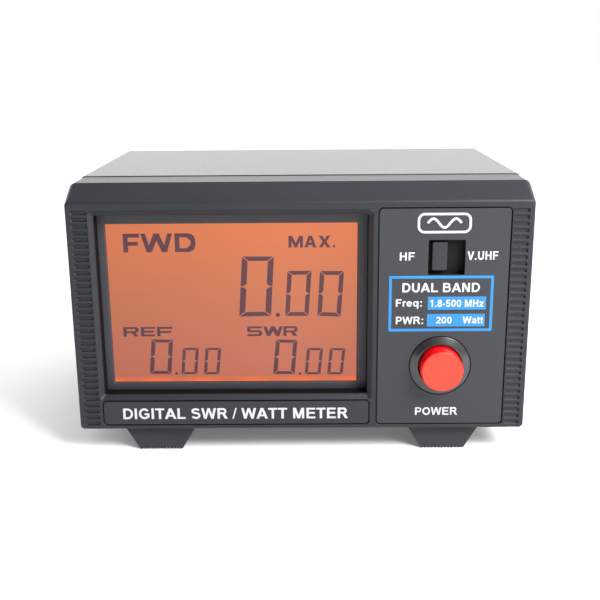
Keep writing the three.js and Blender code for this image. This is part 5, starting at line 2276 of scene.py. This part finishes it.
@dataclass(frozen=True)
class DcJack:
    """The barrel supply jack."""

    flange: float = 5.6
    barrel: float = 3.9
    bore: float = 2.8
    pin: float = 1.05
    depth: float = 10.5
    lip: float = 1.2
    floor: float = 1.5
    pin_sunk: float = 1.5
    pin_tail: float = 2.0
    clearance: float = 0.3

    def build(self, shop: Workshop) -> None:
        """Makes the jack and its pin.

        Args:
            shop: The workshop.
        """
        low, high = shop.datum.box("dc_jack")
        base = Vector(((low.x + high.x) / 2, high.y - self.lip, (low.z + high.z) / 2))
        floor = -self.depth + self.floor
        hole = self.pin + self.clearance
        body = [(hole, -self.depth), (self.barrel, -self.depth), (self.barrel, 0), (self.flange, 0),
                (self.flange, self.lip), (self.bore, self.lip), (self.bore, floor), (hole, floor)]
        jack = moved(turned(softened(body, 0.25, 3)), *base)
        shop.piece("supply_jack", jack, BLACK_ACETAL, ["dc_jack"], "black_plastic")
        end = self.lip - self.pin_sunk
        start, r = -self.depth - self.pin_tail, self.pin
        pin = [(0, start), (r, start), (r, end - 0.5), (r - 0.15, end - 0.15), (r - 0.5, end), (0, end)]
        shop.piece("supply_jack_pin", moved(turned(pin, 32), *base), NICKEL, ["dc_jack_pin"], "nickel_plate")


@dataclass(frozen=True)
class RearSockets:
    """The coax sockets, their flange screws and the supply jack."""

    screw: MachineScrew = MachineScrew(2.5, 1.3, 1.2, 4.5)
    jack: DcJack = DcJack()

    def build(self, shop: Workshop) -> None:
        """Makes everything on the rear panel.

        Args:
            shop: The workshop.
        """
        spots = []
        for name, kind in SOCKET_KINDS.items():
            socket = CoaxSocket(kind)
            base = socket.build(shop, name)
            reach, seat = socket.screw_half, base.y + socket.flange_thickness + 0.02
            spots += [(base.x + a * reach, seat, base.z + b * reach) for a in (-1, 1) for b in (-1, 1)]
        part = moved(self.screw.mesh(), turn=ABOUT)
        shop.piece("flange_screws", shop.places.place(part, spots, BOARD_SCREW), BOARD_SCREW)
        self.jack.build(shop)


# Internals.
@dataclass(frozen=True)
class Internals:
    """Finishes for the parts inside the case."""

    def build(self, shop: Workshop) -> None:
        """Dresses the inner CAD nodes.

        Args:
            shop: The workshop.
        """
        shop.dress(BOARD, "main_board", "hf_coupler_board", "vuhf_coupler_board")
        shop.dress(CHIP, "microcontroller")
        screws = [f"board_screw_{side}_{level}" for side in ("left", "right") for level in ("lower", "upper")]
        shop.dress(BOARD_SCREW, *screws)
        shop.dress(TINNED, "hf_sensor_box", "vuhf_sensor_box")
        shop.dress(COPPER, "hf_through_line", "vuhf_through_line")
        shop.dress(FERRITE, "hf_toroid")
        shop.dress(LEAD_PVC, "hf_sensor_lead", "vuhf_sensor_lead", "power_lead")


# Studio.
@dataclass(frozen=True)
class AreaLamp:
    """A soft square light that points at the meter."""

    name: str
    place: tuple[float, float, float]
    size: float
    power: float
    aim: tuple[float, float, float] = (0.0, -0.03, 0.05)

    def build(self) -> None:
        """Makes the light."""
        data = bpy.data.lights.new(self.name, "AREA")
        data.shape, data.size, data.energy = "SQUARE", self.size, self.power
        lamp = held(data, self.name)
        lamp.location = self.place
        lamp.rotation_euler = (Vector(self.aim) - Vector(self.place)).to_track_quat("-Z", "Y").to_euler()


@dataclass(frozen=True)
class Studio:
    """Floor, surroundings, lights and camera."""

    floor_half: float = 6.0
    eye: tuple[float, float, float] = (3.016, -297.005, 127.707)
    yaw: float = math.radians(-0.595)
    pitch: float = math.radians(15.213)
    roll: float = math.radians(-0.490)
    lens: float = 54.51
    sensor: float = 36.0
    back_glow: float = 2.55
    front_glow: Point = (0.05, 0.95)
    ceiling_glow: Point = (0.05, 1.15)

    def build(self, shop: Workshop) -> None:
        """Makes the stage.

        Args:
            shop: The workshop.
        """
        self.add_floor(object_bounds()[0].z)
        self.add_surroundings()
        AreaLamp("key_right", (0.32, -0.38, 0.4), 0.24, 5.2).build()
        self.add_camera(shop.datum)
        bpy.context.scene.view_settings.view_transform = "Standard"

    def add_floor(self, level: float) -> None:
        """Adds a plain pale floor.

        Args:
            level: Height of the meter's soles.
        """
        half = self.floor_half
        mesh = bpy.data.meshes.new("floor")
        z = level - 0.05 * MM
        corners = [(-half, -half, z), (half, -half, z), (half, half, z), (-half, half, z)]
        mesh.from_pydata(corners, [], [(0, 1, 2, 3)])
        floor = held(mesh, "floor")
        paint = Finish(
            "pale_studio_floor", "#f9f9f9", 0.7, specular=0.2, grain=4.0, relief=0.0, variation=0.0, glow=0.13
        )
        mesh.materials.append(paint.build())
        floor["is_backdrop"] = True

    def add_surroundings(self) -> None:
        """Adds a bright low wall behind, and a front and a ceiling that brighten to the right."""
        world = bpy.data.worlds.new("studio_surroundings")
        world.use_nodes = True
        bpy.context.scene.world = world
        tree = world.node_tree
        tree.nodes.clear()
        way = add(tree, "ShaderNodeTexCoord").outputs["Generated"]
        split = add(tree, "ShaderNodeSeparateXYZ", {"Vector": way})

        def blend(axis: str, start: float, end: float, low: Any = 0.0, high: Any = 1.0) -> Socket:
            """Returns a strength that goes smoothly from low to high along an axis."""
            sockets = {"Value": split.outputs[axis], "From Min": start, "From Max": end}
            sockets |= {"To Min": low, "To Max": high}
            return add(tree, "ShaderNodeMapRange", sockets, interpolation_type="SMOOTHSTEP").outputs[0]

        front = blend("X", -0.45, 0.5, *self.front_glow)
        wall = blend("Y", -0.2, 0.6, front, self.back_glow)
        ceiling = blend("X", -0.28, 0.02, *self.ceiling_glow)
        sockets = {0: blend("Z", 0.5, 0.85), 2: wall, 3: ceiling}
        strength = add(tree, "ShaderNodeMix", sockets, data_type="FLOAT").outputs[0]
        seen = add(tree, "ShaderNodeLightPath").outputs["Is Camera Ray"]
        shown = add(tree, "ShaderNodeMix", {0: seen, 2: strength, 3: 1.0}, data_type="FLOAT").outputs[0]
        glow = add(tree, "ShaderNodeBackground", {"Color": (1, 1, 1, 1), "Strength": shown})
        add(tree, "ShaderNodeOutputWorld", {"Surface": glow.outputs[0]})

    def add_camera(self, datum: Datum) -> None:
        """Adds the camera.

        Args:
            datum: Place of the face frame.
        """
        flat = math.cos(self.pitch)
        forward = Vector((math.sin(self.yaw) * flat, math.cos(self.yaw) * flat, -math.sin(self.pitch)))
        level = Vector((math.cos(self.yaw), -math.sin(self.yaw), 0))
        rise = level.cross(forward)
        right = math.cos(self.roll) * level + math.sin(self.roll) * rise
        up = -math.sin(self.roll) * level + math.cos(self.roll) * rise
        data = bpy.data.cameras.new("camera")
        data.lens, data.sensor_width = self.lens, self.sensor
        data.clip_start, data.clip_end = 0.01, 50
        camera = held(data, "camera")
        turn = Matrix((right, up, -forward)).transposed().to_4x4()
        camera.matrix_world = Matrix.Translation(datum.metres(*self.eye)) @ turn
        bpy.context.scene.camera = camera


# Main.
def main() -> None:
    """Loads the frame and builds the meter and its stage."""
    logging.basicConfig(level=logging.INFO, format="%(message)s")
    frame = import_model()
    shop = Workshop(frame)
    kinds = (FrontBezel, FacePanels, Display, PowerButton, BandSwitch, Case, RearSockets, Internals)
    for kind in kinds:
        log.info("building %s", kind.__name__)
        kind().build(shop)
    Studio().build(shop)


if __name__ == "__main__":
    main()
